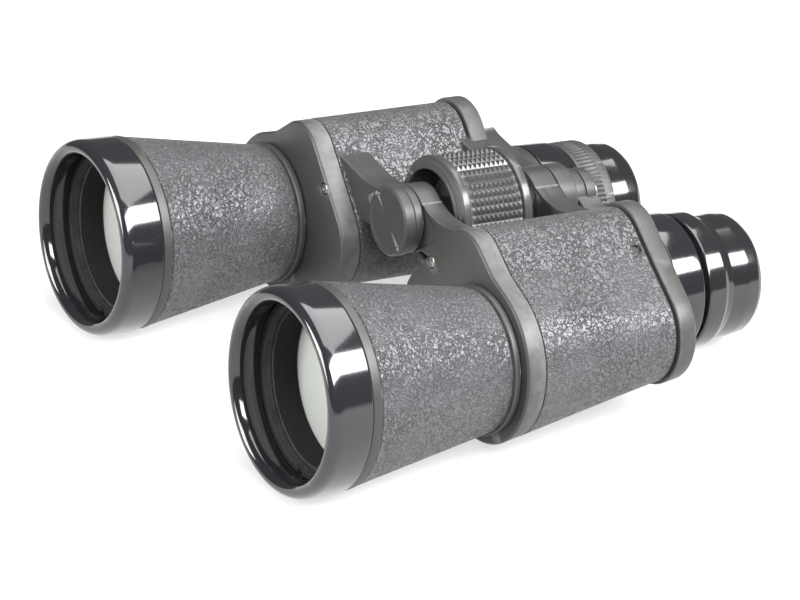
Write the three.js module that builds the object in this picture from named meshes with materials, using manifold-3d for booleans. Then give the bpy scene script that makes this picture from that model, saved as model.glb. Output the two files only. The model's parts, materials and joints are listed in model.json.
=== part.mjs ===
// Centre-focus Porro-prism binoculars, resting on a table on their objective bezels and eyepiece sleeves.
// Millimetres, +Z up. The objectives look along -Y, the eyepieces along +Y, and the user's left barrel is at +X.
// The pieces are laid out in an instrument frame whose Y axis is the optical direction, whose z = 0 plane holds
// the four optical axes and whose x = 0 plane holds the hinge; the whole instrument is then tipped to its rest.
import * as THREE from "three";
import { mergeVertices } from "three/addons/utils/BufferGeometryUtils.js";
import Module from "manifold-3d";

const wasm = await Module();
wasm.setup();

// Clearances
const GAP = 0.3; // between pieces that seat on each other
const RUN = 0.4; // between pieces that slide or turn on each other
const CHAMFER = 0.7; // on cast and turned edges
const PAST = 1; // how far a cutting shape runs past the face it cuts

// Optical layout
const OBJECTIVE_SPACING = 125.4;
const PUPIL_SPACING = 66.2;
const HINGE_HEIGHT = 19.9; // hinge axis above the optical axes
const FOLD = (OBJECTIVE_SPACING - PUPIL_SPACING) / 4; // each prism shifts the light by this much in x and in z

// Stations along the optical direction
const BEZEL_FRONT = -91.7;
const BEZEL_LENGTH = 13.7;
const PLAIN_RING_LENGTH = 3;
const BODY_FRONT = -22; // front face of the front cover
const COVER_DEPTH = 6.6;
const BODY_LENGTH = 56.7; // front face of the front cover to the front edge of the rear cover
const LID_DEPTH = 6.2;
const BRIDGE_SPACE = 1.2; // between the hinge and the bridge, for focusing past infinity
const BRIDGE_DEPTH = 7.6;
const SLEEVE_LENGTH = 18.7; // bridge ring and eyepiece sleeve together
const EYECUP_GROOVE = 2.2;
const EYECUP_LENGTH = 22.7;

// Objective end
const LENS_RADIUS = 25.2;
const BEZEL_RADIUS = LENS_RADIUS + 6;
const BEZEL_MOUTH = LENS_RADIUS + 0.8;
const BEZEL_BORE = LENS_RADIUS + 2.4;
const BEZEL_LIP = 4; // depth of the rounded lip
const BEZEL_BORE_SETBACK = 6;
const LENS_EDGE = 5.5;
const LENS_BULGE = 2.4;
const LENS_REAR_BULGE = 0.8;
const LENS_SETBACK = 7.2; // from the tube's front to the lens's edge
const CELL_WALL = 1.1;
const LOCK_RING_DEPTH = 2.7;
const LOCK_RING_WALL = 2.4;
const LOCK_RING_AHEAD = 1.6; // of the tube's front
const NOTCH_WIDTH = 3;
const NOTCH_DEPTH = 1.1;
const LEATHER = 1.2;
const LEATHER_PROUD = 0.1; // of the covers round the body
const CONE_FRONT_RADIUS = LENS_RADIUS + 5.3; // over the leatherette
const CONE_REAR_RADIUS = 22.1;
const CONE_WALL = 2.4;
const COLLAR_LENGTH = 2.1;
const COLLAR_RADIUS = 22.8;
const COLLAR_CHAMFER = 0.5;
const SPIGOT_LENGTH = 5.2;

// Body section: lobes round the objective, the folded light path and the eyepiece, with a waist on the outer side
const OBJECTIVE_LOBE_FRONT = 26;
const OBJECTIVE_LOBE_REAR = 16;
const OBJECTIVE_LOBE_SHIFT = [5.7, 3.5]; // of the lobe's centre, front to rear
const TOP_LOBE_CENTRE = [PUPIL_SPACING / 2 + FOLD + 1.1, FOLD + 8];
const TOP_LOBE = 12.6;
const EYEPIECE_LOBE_SHIFT = [0.9, 1.3]; // of the lobe's centre from the eyepiece axis
const GUIDE_RADIUS = 16;
const EYEPIECE_LOBE = GUIDE_RADIUS;
const WAIST_RADIUS = 14;
const WAIST_DEPTH_FRONT = 1.2;
const WAIST_DEPTH_REAR = 0.2;
const BODY_WALL = 2;
const COVER_RIM = 1.2;
const COVER_PLATE = 3.4;
const LID_PLATE = 3.2;
const LID_OVERHANG = 1.3;
const LID_GROOVE = 0.8;
const COVER_SCREW = [PUPIL_SPACING / 2 - 1.1, 19.3]; // place on the front cover
const COVER_SCREW_RADIUS = 1.7;
const COVER_SCREW_HEAD = 1.2;
const COVER_SCREW_SUNK = 0.1;
const SET_SCREW_RADIUS = 1.3;
const SET_SCREW_LENGTH = 2.9;
const SET_SCREW_SUNK = 0.5;
const SET_SCREW_HOLE = 5; // half the hole's length
const SET_SCREW_INSET = 2.6; // ahead of the rear edge of the leatherette

// Prisms
const PRISM_HALF_LENGTH = FOLD + 2.4;
const PRISM_HALF_WIDTH = 7.8;
const SHELF_AHEAD = 0.55; // of the middle of the housing
const SHELF_THICKNESS = 2;
const LIGHT_HOLE = 7.2;
const OBJECTIVE_LIGHT_HOLE = 8.4;

// Hinge
const KNUCKLE_RADIUS = 10.7;
const AXLE_RADIUS = 5.1;
const CAP_RADIUS = KNUCKLE_RADIUS + 0.4;
const CAP_DEPTH = 3.8;
const HINGE_SETBACK = 1.3; // of the first knuckle behind the front cover
const FRONT_THIN_KNUCKLE = 2.8;
const FRONT_KNUCKLE = 7.3;
const REAR_ARM_AHEAD = 3.7; // of the rear cover
const REAR_KNUCKLE = 8.7;
const REAR_OUTER_KNUCKLE = 6.4;
const ARM_RISE = 5.6; // top of an arm's waist above the hinge axis
const ARM_DROP = 7.5; // underside of an arm's waist below the hinge axis
const ARM_REACH = 37;
const LID_CLEARANCE = 1; // between a rear arm and the rear cover

// Focus wheel and bridge
const WHEEL_FRONT_SPACE = 0.9; // behind the front arms
const WHEEL_REAR_SPACE = 7.2; // ahead of the rear arms
const WHEEL_RADIUS = 18.6;
const WHEEL_MOUTH = 14.5;
const WHEEL_RECESS = 10.8;
const WHEEL_BEVEL = [1.8, 1.6]; // across and along the front edge
const WHEEL_REAR_BEVEL = 0.6;
const GRIP_INSET = 0.5;
const GRIP_STEP = 0.4;
const RING_LENGTH = 2.8; // plain ring at each end of the grip
const ROD_RADIUS = 3.2;
const ROD_OVERLAP = 11.8; // of the rod with the wheel
const ROD_TRAVEL = 6; // room ahead of the rod in the axle
const BRIDGE_KNUCKLE_RADIUS = 8.2;
const BRIDGE_ARM_HALF = 5.4;
const BRIDGE_SCREW_RADIUS = 5.2;
const BRIDGE_SCREW_DEPTH = 2.4;
const BRIDGE_SCREW_SLOT = 1.2;

// Eyepieces
const GUIDE_WALL = 2.2;
const GUIDE_REACH = 17; // behind the rear cover
const GUIDE_FOOT_STEP = 1; // the foot in the rear cover is this much thinner
const BARREL_WALL = 2;
const BARREL_LEAD = 3.6; // the barrel starts this far ahead of the bridge ring
const SLEEVE_WALL = 3.9;
const CUP_NECK_WALL = 0.9;
const CUP_SHOULDER_STEP = 2.15; // from the neck out to the shoulder
const CUP_END_STEP = 1.1; // from the neck in to the rounded end
const CUP_SHOULDER = 6.5; // length of the wide front part of a plain eyecup
const DIOPTER_RING_LENGTH = 10.8;
const DIOPTER_RING_WALL = 1.9;
const CUP_EDGE = 1.2; // length of the rounded front edge
const CUP_FILLET = 2; // from the shoulder down to the neck
const CUP_SWELL = 0.3;
const CUP_END_ROUND = 1.8;
const CUP_RIM = 1.6;
const CUP_FLOOR = 1.4;
const EYE_LENS_RADIUS = 11.5;
const EYE_LENS_DEPTH = 5;
const EYE_LENS_BULGES = [1, 0.8]; // front and rear
const EYE_LENS_SETBACK = 7; // from the end of the eyecup
const BARREL_LIP = 1; // behind the eye lens
const BARREL_LIP_COVER = 0.8; // of the lens's edge
const FIELD_LENS_INSET = 0.8; // from the barrel's bore
const FIELD_LENS_DEPTH = 5;
const FIELD_LENS_BULGES = [1.6, 1];
const FIELD_LENS_SETBACK = 4; // behind the guide

// Steps round the turned pieces and round the body's lobes
const SEGMENTS = 28;
const SMALL_SEGMENTS = 16;
const SCREW_SEGMENTS = 12;
const OBJECTIVE_LOBE_STEPS = 9;
const SMALL_LOBE_STEPS = 6;
const WAIST_STEPS = 2;

// ---------- materials ----------

const finish = (color, roughness, metalness) => new THREE.MeshStandardMaterial({ color, roughness, metalness });
const SATIN_BLACK = finish(0x2a2b2c, 0.45, 0.3);
const GLOSS_BLACK = finish(0x131416, 0.12, 0.2);
const LEATHERETTE = finish(0x1d1e20, 0.6, 0);
const MATT_BLACK = finish(0x101010, 0.9, 0);
const STEEL = finish(0x8d8f92, 0.3, 0.9);
const GLASS = new THREE.MeshStandardMaterial({
  color: 0xdfe5e2,
  roughness: 0.03,
  metalness: 0,
  transparent: true,
  opacity: 0.4,
});

// ---------- shape helpers ----------

const { cos, sin, atan2, acos, hypot, PI } = Math;
const lerp = (a, b, t) => a + (b - a) * t;

// A closed geometry as a manifold-3d solid, in the place its vertices say.
function solid(geometry) {
  const bare = geometry.index ? geometry.toNonIndexed() : geometry.clone();
  bare.deleteAttribute("normal");
  bare.deleteAttribute("uv");
  const merged = mergeVertices(bare, 1e-4);
  const mesh = { numProp: 3, vertProperties: merged.attributes.position.array };
  return new wasm.Manifold(new wasm.Mesh({ ...mesh, triVerts: new Uint32Array(merged.index.array) }));
}

// Points of an elliptical arc, as [radius, station] pairs.
function arc(r, y, rr, ry, from, to, steps) {
  return Array.from({ length: steps + 1 }, (_, i) => {
    const a = THREE.MathUtils.degToRad(lerp(from, to, i / steps));
    return [r + rr * cos(a), y + ry * sin(a)];
  });
}

// A profile of [radius, station] pairs turned round the optical direction at (x, z); outside first, going rearwards.
function turned(profile, x = 0, z = 0, segments = SEGMENTS) {
  const closed = profile[0][0] === 0 ? profile : [...profile, profile[0]];
  const points = closed.map(([r, y]) => new THREE.Vector2(r, y));
  return solid(new THREE.LatheGeometry(points, segments).translate(x, 0, z));
}

const disc = (r, y0, y1, x, z, segments) => turned([[0, y0], [r, y0], [r, y1], [0, y1]], x, z, segments);
const tube = (inner, outer, y0, y1, x, z, segments) =>
  turned([[inner, y0], [outer, y0], [outer, y1], [inner, y1]], x, z, segments);

// A skin through outlines of [x, z] points that run counter-clockwise as seen from the front, with flat ends.
function loft(sections) {
  const count = sections[0].points.length;
  const positions = sections.flatMap(({ y, points }) => points.flatMap(([x, z]) => [x, y, z]));
  const faces = [];
  for (let s = 0; s + 1 < sections.length; s++) {
    for (let i = 0; i < count; i++) {
      const a = s * count + i;
      const b = s * count + ((i + 1) % count);
      faces.push(a, a + count, b + count, a, b + count, b);
    }
  }
  const capped = (points) => THREE.ShapeUtils.triangulateShape(points.map(([x, z]) => new THREE.Vector2(x, z)), []);
  capped(sections[0].points).forEach((f) => faces.push(...f));
  const last = (sections.length - 1) * count;
  capped(sections.at(-1).points).forEach(([a, b, c]) => faces.push(last + a, last + c, last + b));
  const geometry = new THREE.BufferGeometry();
  geometry.setAttribute("position", new THREE.Float32BufferAttribute(positions, 3));
  geometry.setIndex(faces);
  return solid(geometry);
}

const slab = (points, y0, y1) => loft([{ y: y0, points }, { y: y1, points }]);
const box = (x0, x1, y0, y1, z0, z1) => slab([[x0, z0], [x1, z0], [x1, z1], [x0, z1]], y0, y1);

// The line that touches two lobes on their outer side: its outward direction and its touching points.
// A lobe is { c: [x, z], r }, and a waist has a negative r because the outline passes on its other side.
function tangent(a, b) {
  const [dx, dz] = [b.c[0] - a.c[0], b.c[1] - a.c[1]];
  const angle = atan2(dz, dx) - acos((a.r - b.r) / hypot(dx, dz));
  const n = [cos(angle), sin(angle)];
  return { angle, n, ends: [a, b].map((q) => [q.c[0] + q.r * n[0], q.c[1] + q.r * n[1]]) };
}

// The outline that runs round the lobes, each in so many steps, with `run` points on the straight run after it.
function outline(lobes) {
  const lines = lobes.map((lobe, i) => tangent(lobe, lobes[(i + 1) % lobes.length]));
  return lobes.flatMap((lobe, i) => {
    const [a, b] = lines[i].ends;
    const run = Array.from({ length: lobe.run ?? 0 }, (_, k) => {
      const t = (k + 1) / (lobe.run + 1);
      return [lerp(a[0], b[0], t), lerp(a[1], b[1], t)];
    });
    const from = lines[(i + lobes.length - 1) % lobes.length].angle;
    let sweep = (lines[i].angle - from) % (2 * PI);
    if (lobe.r > 0 && sweep < 0) sweep += 2 * PI;
    if (lobe.r < 0 && sweep > 0) sweep -= 2 * PI;
    const bend = Array.from({ length: lobe.steps + 1 }, (_, k) => {
      const angle = from + (sweep * k) / lobe.steps;
      return [lobe.c[0] + lobe.r * cos(angle), lobe.c[1] + lobe.r * sin(angle)];
    });
    return [...bend, ...run];
  });
}

// ---------- stations that follow from the sizes above ----------

const OBJECTIVE_X = OBJECTIVE_SPACING / 2;
const EYEPIECE_X = PUPIL_SPACING / 2;
const BEZEL_REAR = BEZEL_FRONT + BEZEL_LENGTH;
const TUBE_FRONT = BEZEL_REAR + GAP;
const COVER_REAR = BODY_FRONT + COVER_DEPTH;
const LID_FRONT = BODY_FRONT + BODY_LENGTH;
const LID_REAR = LID_FRONT + LID_DEPTH;
const LEATHER_FRONT = COVER_REAR + GAP;
const LEATHER_REAR = LID_FRONT - LID_GROOVE;
const SHELL_FRONT = BODY_FRONT + COVER_PLATE + GAP;
const SHELL_REAR = LID_REAR - LID_PLATE - GAP;
const SHELF_STATION = (SHELL_FRONT + SHELL_REAR) / 2 - SHELF_AHEAD;
const THIN_KNUCKLE_FRONT = COVER_REAR + HINGE_SETBACK;
const FRONT_ARM_FRONT = THIN_KNUCKLE_FRONT + FRONT_THIN_KNUCKLE + GAP;
const FRONT_ARM_REAR = FRONT_ARM_FRONT + FRONT_KNUCKLE;
const CAP_REAR = THIN_KNUCKLE_FRONT - GAP;
const CAP_FRONT = CAP_REAR - CAP_DEPTH;
const REAR_ARM_FRONT = LID_FRONT - REAR_ARM_AHEAD;
const REAR_ARM_REAR = REAR_ARM_FRONT + REAR_KNUCKLE;
const OUTER_KNUCKLE_FRONT = REAR_ARM_REAR + GAP;
const OUTER_KNUCKLE_REAR = OUTER_KNUCKLE_FRONT + REAR_OUTER_KNUCKLE;
const WHEEL_FRONT = FRONT_ARM_REAR + WHEEL_FRONT_SPACE;
const WHEEL_REAR = REAR_ARM_FRONT - WHEEL_REAR_SPACE;
const ROD_FRONT = WHEEL_REAR - ROD_OVERLAP;
const SLEEVE_FRONT = OUTER_KNUCKLE_REAR + BRIDGE_SPACE;
const SLEEVE_REAR = SLEEVE_FRONT + SLEEVE_LENGTH;
const BRIDGE_REAR = SLEEVE_FRONT + BRIDGE_DEPTH;
const CUP_FRONT = SLEEVE_REAR + EYECUP_GROOVE;
const CUP_REAR = CUP_FRONT + EYECUP_LENGTH;
const COLLAR_REAR = BODY_FRONT - GAP;
const COLLAR_FRONT = COLLAR_REAR - COLLAR_LENGTH;
const BARREL_BORE = GUIDE_RADIUS + RUN;
const BARREL_RADIUS = BARREL_BORE + BARREL_WALL;
const RING_BORE = BARREL_RADIUS + GAP;
const GUIDE_FOOT = GUIDE_RADIUS - GUIDE_FOOT_STEP;
const SLEEVE_RADIUS = RING_BORE + SLEEVE_WALL;
const CUP_NECK = RING_BORE + CUP_NECK_WALL;
const CUP_RADIUS = CUP_NECK + CUP_SHOULDER_STEP;
const CUP_END_RADIUS = CUP_NECK - CUP_END_STEP;
const FIELD_LENS_RADIUS = BARREL_BORE - FIELD_LENS_INSET;
const AXLE_BORE = ROD_RADIUS + RUN;

// The body's outline at its front (t = 0) or at the rear cover (t = 1), grown outwards by so much.
function endOutline(t, grow) {
  const objective = {
    c: [OBJECTIVE_X + OBJECTIVE_LOBE_SHIFT[0] * t, OBJECTIVE_LOBE_SHIFT[1] * t],
    r: lerp(OBJECTIVE_LOBE_FRONT, OBJECTIVE_LOBE_REAR, t),
    steps: OBJECTIVE_LOBE_STEPS,
  };
  const top = { c: TOP_LOBE_CENTRE, r: TOP_LOBE, steps: SMALL_LOBE_STEPS, run: 1 };
  const eyepiece = {
    c: [EYEPIECE_X + EYEPIECE_LOBE_SHIFT[0], EYEPIECE_LOBE_SHIFT[1]],
    r: EYEPIECE_LOBE,
    steps: SMALL_LOBE_STEPS,
    run: 3,
  };
  const { n, ends } = tangent(objective, top);
  const out = WAIST_RADIUS - lerp(WAIST_DEPTH_FRONT, WAIST_DEPTH_REAR, t);
  const centre = [0, 1].map((i) => (ends[0][i] + ends[1][i]) / 2 + n[i] * out);
  const waist = { c: centre, r: -WAIST_RADIUS, steps: WAIST_STEPS };
  return outline([objective, waist, top, eyepiece].map((lobe) => ({ ...lobe, r: lobe.r + grow })));
}

// The body is ruled straight from its front outline to its rear one; this is its outline at a station.
function section(y, grow) {
  const rear = endOutline(1, grow);
  const t = (y - BODY_FRONT) / BODY_LENGTH;
  return { y, points: endOutline(0, grow).map(([x, z], i) => [lerp(x, rear[i][0], t), lerp(z, rear[i][1], t)]) };
}

// The body between two stations; every such piece shares the same stations in between, so that they nest.
function body(y0, y1, grow) {
  const shared = [1, 2, 3].map((i) => BODY_FRONT + (BODY_LENGTH * i) / 4).filter((y) => y > y0 && y < y1);
  return loft([y0, ...shared, y1].map((y) => section(y, grow)));
}

// An arm's outline from the hinge axis to the body, seen from the front and grown by so much.
function armOutline(grow) {
  const top = new THREE.SplineCurve([
    new THREE.Vector2(ARM_REACH, HINGE_HEIGHT + ARM_RISE + 2 + grow),
    new THREE.Vector2(KNUCKLE_RADIUS * 2, HINGE_HEIGHT + ARM_RISE + grow),
    new THREE.Vector2(KNUCKLE_RADIUS, HINGE_HEIGHT + ARM_RISE + 1.6 + grow),
    new THREE.Vector2(KNUCKLE_RADIUS * 0.45, HINGE_HEIGHT + KNUCKLE_RADIUS * 0.88 + grow),
  ]).getPoints(7);
  const under = new THREE.SplineCurve([
    new THREE.Vector2(KNUCKLE_RADIUS * 0.5, HINGE_HEIGHT - KNUCKLE_RADIUS * 0.85 - grow),
    new THREE.Vector2(KNUCKLE_RADIUS * 1.2, HINGE_HEIGHT - ARM_DROP - grow),
    new THREE.Vector2(ARM_REACH, HINGE_HEIGHT - ARM_DROP - 3 - grow),
  ]).getPoints(5);
  return [...top, ...under].map((p) => [p.x, p.y]);
}

const hingePiece = (inner, outer, y0, y1) => tube(inner, outer, y0, y1, 0, HINGE_HEIGHT, SMALL_SEGMENTS);

// ---------- the pieces of one barrel, drawn for the left one ----------

const meshes = new THREE.Group();

function add(group, name, shape, material) {
  const { numProp, numVert, vertProperties, triVerts } = shape.getMesh();
  const positions = new Float32Array(numVert * 3);
  for (let i = 0; i < numVert; i++) positions.set(vertProperties.subarray(i * numProp, i * numProp + 3), i * 3);
  const geometry = new THREE.BufferGeometry();
  geometry.setAttribute("position", new THREE.BufferAttribute(positions, 3));
  geometry.setIndex(new THREE.BufferAttribute(triVerts, 1));
  geometry.computeVertexNormals();
  const mesh = new THREE.Mesh(geometry, material);
  mesh.name = name;
  group.add(mesh);
}

function addObjective(group, side) {
  const x = OBJECTIVE_X;
  const mid = (BEZEL_RADIUS + BEZEL_MOUTH) / 2;
  const half = (BEZEL_RADIUS - BEZEL_MOUTH) / 2;
  const bezel = [
    ...arc(mid, BEZEL_FRONT + BEZEL_LIP, half, BEZEL_LIP, 180, 360, 5),
    [BEZEL_RADIUS, BEZEL_REAR],
    [BEZEL_BORE, BEZEL_REAR],
    [BEZEL_BORE, BEZEL_FRONT + BEZEL_BORE_SETBACK],
  ];
  add(group, side + "_objective_bezel", turned(bezel, x), GLOSS_BLACK);

  const bore = LENS_RADIUS + RUN;
  const lensFront = TUBE_FRONT + LENS_SETBACK;
  const lensRear = lensFront + LENS_EDGE;
  const skinRear = COLLAR_FRONT - GAP;
  const skinFront = TUBE_FRONT + PLAIN_RING_LENGTH;
  const under = LEATHER + GAP;
  const seat = LENS_RADIUS - CELL_WALL;
  const spigot = CONE_REAR_RADIUS - under - GAP;
  const shell = [
    [bore, TUBE_FRONT],
    [CONE_FRONT_RADIUS + GAP, TUBE_FRONT],
    [CONE_FRONT_RADIUS + GAP, skinFront],
    [CONE_FRONT_RADIUS - under, skinFront],
    [CONE_REAR_RADIUS - under, skinRear],
    [CONE_REAR_RADIUS - under, COLLAR_REAR],
    [spigot, COLLAR_REAR],
    [spigot, BODY_FRONT + SPIGOT_LENGTH],
    [spigot - CONE_WALL, BODY_FRONT + SPIGOT_LENGTH],
    [spigot - CONE_WALL, COLLAR_REAR],
    [seat, lensRear + GAP],
    [bore, lensRear + GAP],
  ];
  add(group, side + "_objective_tube", turned(shell, x), SATIN_BLACK);

  const skin = [
    [CONE_FRONT_RADIUS - LEATHER, skinFront + GAP],
    [CONE_FRONT_RADIUS, skinFront + GAP],
    [CONE_REAR_RADIUS, skinRear],
    [CONE_REAR_RADIUS - LEATHER, skinRear],
  ];
  add(group, side + "_tube_leatherette", turned(skin, x), LEATHERETTE);
  const collarBore = CONE_REAR_RADIUS - under + GAP;
  const collar = [
    [collarBore, COLLAR_FRONT],
    [COLLAR_RADIUS - COLLAR_CHAMFER, COLLAR_FRONT],
    [COLLAR_RADIUS, COLLAR_FRONT + COLLAR_CHAMFER],
    [COLLAR_RADIUS, COLLAR_REAR - COLLAR_CHAMFER],
    [COLLAR_RADIUS - COLLAR_CHAMFER, COLLAR_REAR],
    [collarBore, COLLAR_REAR],
  ];
  add(group, side + "_tube_collar", turned(collar, x), SATIN_BLACK);

  const lens = [
    [0, lensFront - LENS_BULGE],
    [LENS_RADIUS * 0.5, lensFront - LENS_BULGE * 0.75],
    [LENS_RADIUS - CELL_WALL, lensFront - GAP * 0.5],
    [LENS_RADIUS, lensFront],
    [LENS_RADIUS, lensRear],
    [LENS_RADIUS - CELL_WALL - RUN, lensRear],
    [LENS_RADIUS * 0.5, lensRear + LENS_REAR_BULGE * 0.75],
    [0, lensRear + LENS_REAR_BULGE],
  ];
  add(group, side + "_objective_lens", turned(lens, x, 0, SMALL_SEGMENTS), GLASS);

  const lockRear = TUBE_FRONT - LOCK_RING_AHEAD;
  const lockFront = lockRear - LOCK_RING_DEPTH;
  const lockOuter = BEZEL_BORE - GAP;
  const notch = box(
    x - NOTCH_WIDTH / 2,
    x + NOTCH_WIDTH / 2,
    lockFront - PAST,
    lockFront + NOTCH_DEPTH,
    -lockOuter - PAST,
    lockOuter + PAST,
  );
  const lock = tube(lockOuter - LOCK_RING_WALL, lockOuter, lockFront, lockRear, x, 0, SMALL_SEGMENTS);
  add(group, side + "_lock_ring", lock.subtract(notch), MATT_BLACK);
  const cellRear = lensFront - GAP;
  const cell = tube(LENS_RADIUS - CELL_WALL, LENS_RADIUS, lockRear + GAP, cellRear, x, 0, SMALL_SEGMENTS);
  add(group, side + "_lens_cell_ring", cell, MATT_BLACK);
}

// The screw that holds the front cover, with its cross recess.
function coverScrew() {
  const [x, z] = COVER_SCREW;
  const front = BODY_FRONT + COVER_SCREW_SUNK;
  const head = disc(COVER_SCREW_RADIUS, front, front + COVER_SCREW_HEAD, x, z, SCREW_SEGMENTS);
  const slot = COVER_SCREW_RADIUS * 0.22;
  const reach = COVER_SCREW_RADIUS * 0.7;
  const depth = front + COVER_SCREW_HEAD / 3;
  return head
    .subtract(box(x - slot, x + slot, front - PAST, depth, z - reach, z + reach))
    .subtract(box(x - reach, x + reach, front - PAST, depth, z - slot, z + slot));
}

function addBody(group, side, arms) {
  const spigot = CONE_REAR_RADIUS - LEATHER - 2 * GAP;
  const front = loft([
    section(BODY_FRONT, -CHAMFER),
    section(BODY_FRONT + CHAMFER, 0),
    section(COVER_REAR, 0),
  ]);
  const screwSeat = BODY_FRONT + COVER_SCREW_SUNK + COVER_SCREW_HEAD + GAP;
  const frontCover = front
    .subtract(body(BODY_FRONT + COVER_PLATE, COVER_REAR + PAST, -COVER_RIM))
    .subtract(disc(spigot + GAP, BODY_FRONT - PAST, COVER_REAR, OBJECTIVE_X, 0))
    .subtract(disc(COVER_SCREW_RADIUS + GAP, BODY_FRONT - PAST, screwSeat, ...COVER_SCREW, SCREW_SEGMENTS));
  add(group, side + "_front_cover", frontCover, SATIN_BLACK);
  add(group, side + "_cover_screw", coverScrew(), STEEL);

  // The set screw that tilts the rear prism stands square to the body's side between the top and objective lobes.
  const seat = LEATHER_REAR - SET_SCREW_INSET;
  const waistEnd = OBJECTIVE_LOBE_STEPS + 1 + WAIST_STEPS;
  const [from, to] = section(seat, 0).points.slice(waistEnd, waistEnd + 2);
  const face = [(from[0] + to[0]) / 2, (from[1] + to[1]) / 2];
  const normal = atan2(from[0] - to[0], to[1] - from[1]);
  const across = (r, inner, outer) =>
    solid(
      new THREE.CylinderGeometry(r, r, outer - inner, SCREW_SEGMENTS)
        .translate(0, (outer + inner) / 2, 0)
        .rotateX(PI / 2)
        .rotateY(PI / 2 - normal)
        .translate(face[0], seat, face[1]),
    );

  const shellGrow = -LEATHER - GAP;
  let shell = body(SHELL_FRONT, SHELL_REAR, shellGrow);
  for (const arm of arms) shell = shell.add(arm.solid(0));
  shell = shell.subtract(body(SHELL_FRONT - PAST, SHELL_REAR + PAST, shellGrow - BODY_WALL));
  for (const arm of arms) shell = arm.finish(shell);
  const screwHole = across(SET_SCREW_RADIUS + GAP, -SET_SCREW_HOLE, SET_SCREW_HOLE);
  shell = shell.subtract(screwHole);
  add(group, side + "_prism_housing", shell, SATIN_BLACK);
  const setScrew = across(SET_SCREW_RADIUS, -SET_SCREW_SUNK - SET_SCREW_LENGTH, -SET_SCREW_SUNK);
  add(group, side + "_prism_set_screw", setScrew, STEEL);

  let skin = body(LEATHER_FRONT, LEATHER_REAR, LEATHER_PROUD);
  skin = skin.subtract(body(LEATHER_FRONT - PAST, LEATHER_REAR + PAST, -LEATHER));
  for (const arm of arms) skin = skin.subtract(arm.solid(GAP));
  add(group, side + "_body_leatherette", skin.subtract(screwHole), LEATHERETTE);

  const lid = loft([
    section(LID_FRONT, LID_OVERHANG - CHAMFER),
    section(LID_FRONT + CHAMFER, LID_OVERHANG),
    section(LID_REAR - CHAMFER, LID_OVERHANG),
    section(LID_REAR, LID_OVERHANG - CHAMFER),
  ]);
  const rearCover = lid
    .subtract(body(LID_FRONT - PAST, LID_REAR - LID_PLATE, -LEATHER))
    .subtract(disc(GUIDE_FOOT + GAP, LID_FRONT, LID_REAR + PAST, EYEPIECE_X, 0));
  add(group, side + "_rear_cover", rearCover, SATIN_BLACK);
}

// Two right-angle prisms fold the light from the objective axis up to the top lobe and down to the eyepiece axis.
function addPrisms(group, side) {
  const folded = [EYEPIECE_X + FOLD, FOLD];
  const shelfFront = SHELF_STATION - SHELF_THICKNESS / 2;
  const shelfRear = SHELF_STATION + SHELF_THICKNESS / 2;
  const prism = (x, angle, base, apex) => {
    const edge = PRISM_HALF_LENGTH;
    const points = base < apex ? [[-edge, base], [edge, base], [0, apex]] : [[-edge, base], [0, apex], [edge, base]];
    const shape = new THREE.Shape(points.map(([u, v]) => new THREE.Vector2(u, v)));
    const extrude = { depth: 2 * PRISM_HALF_WIDTH, bevelEnabled: false };
    const geometry = new THREE.ExtrudeGeometry(shape, extrude).translate(0, 0, -PRISM_HALF_WIDTH);
    return solid(geometry.rotateY(angle).translate(x, 0, FOLD / 2));
  };
  const rear = prism(OBJECTIVE_X - FOLD / 2, PI / 4, shelfRear + GAP, shelfRear + GAP + PRISM_HALF_LENGTH);
  const front = prism(EYEPIECE_X + FOLD / 2, -PI / 4, shelfFront - GAP, shelfFront - GAP - PRISM_HALF_LENGTH);
  add(group, side + "_rear_prism", rear, GLASS);
  add(group, side + "_front_prism", front, GLASS);
  const hole = (r, x, z) => disc(r, shelfFront - PAST, shelfRear + PAST, x, z, SMALL_SEGMENTS);
  const shelf = body(shelfFront, shelfRear, -LEATHER - GAP - BODY_WALL - GAP)
    .subtract(hole(OBJECTIVE_LIGHT_HOLE, OBJECTIVE_X, 0))
    .subtract(hole(LIGHT_HOLE, ...folded))
    .subtract(hole(LIGHT_HOLE, EYEPIECE_X, 0));
  add(group, side + "_prism_shelf", shelf, MATT_BLACK);
}

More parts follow.
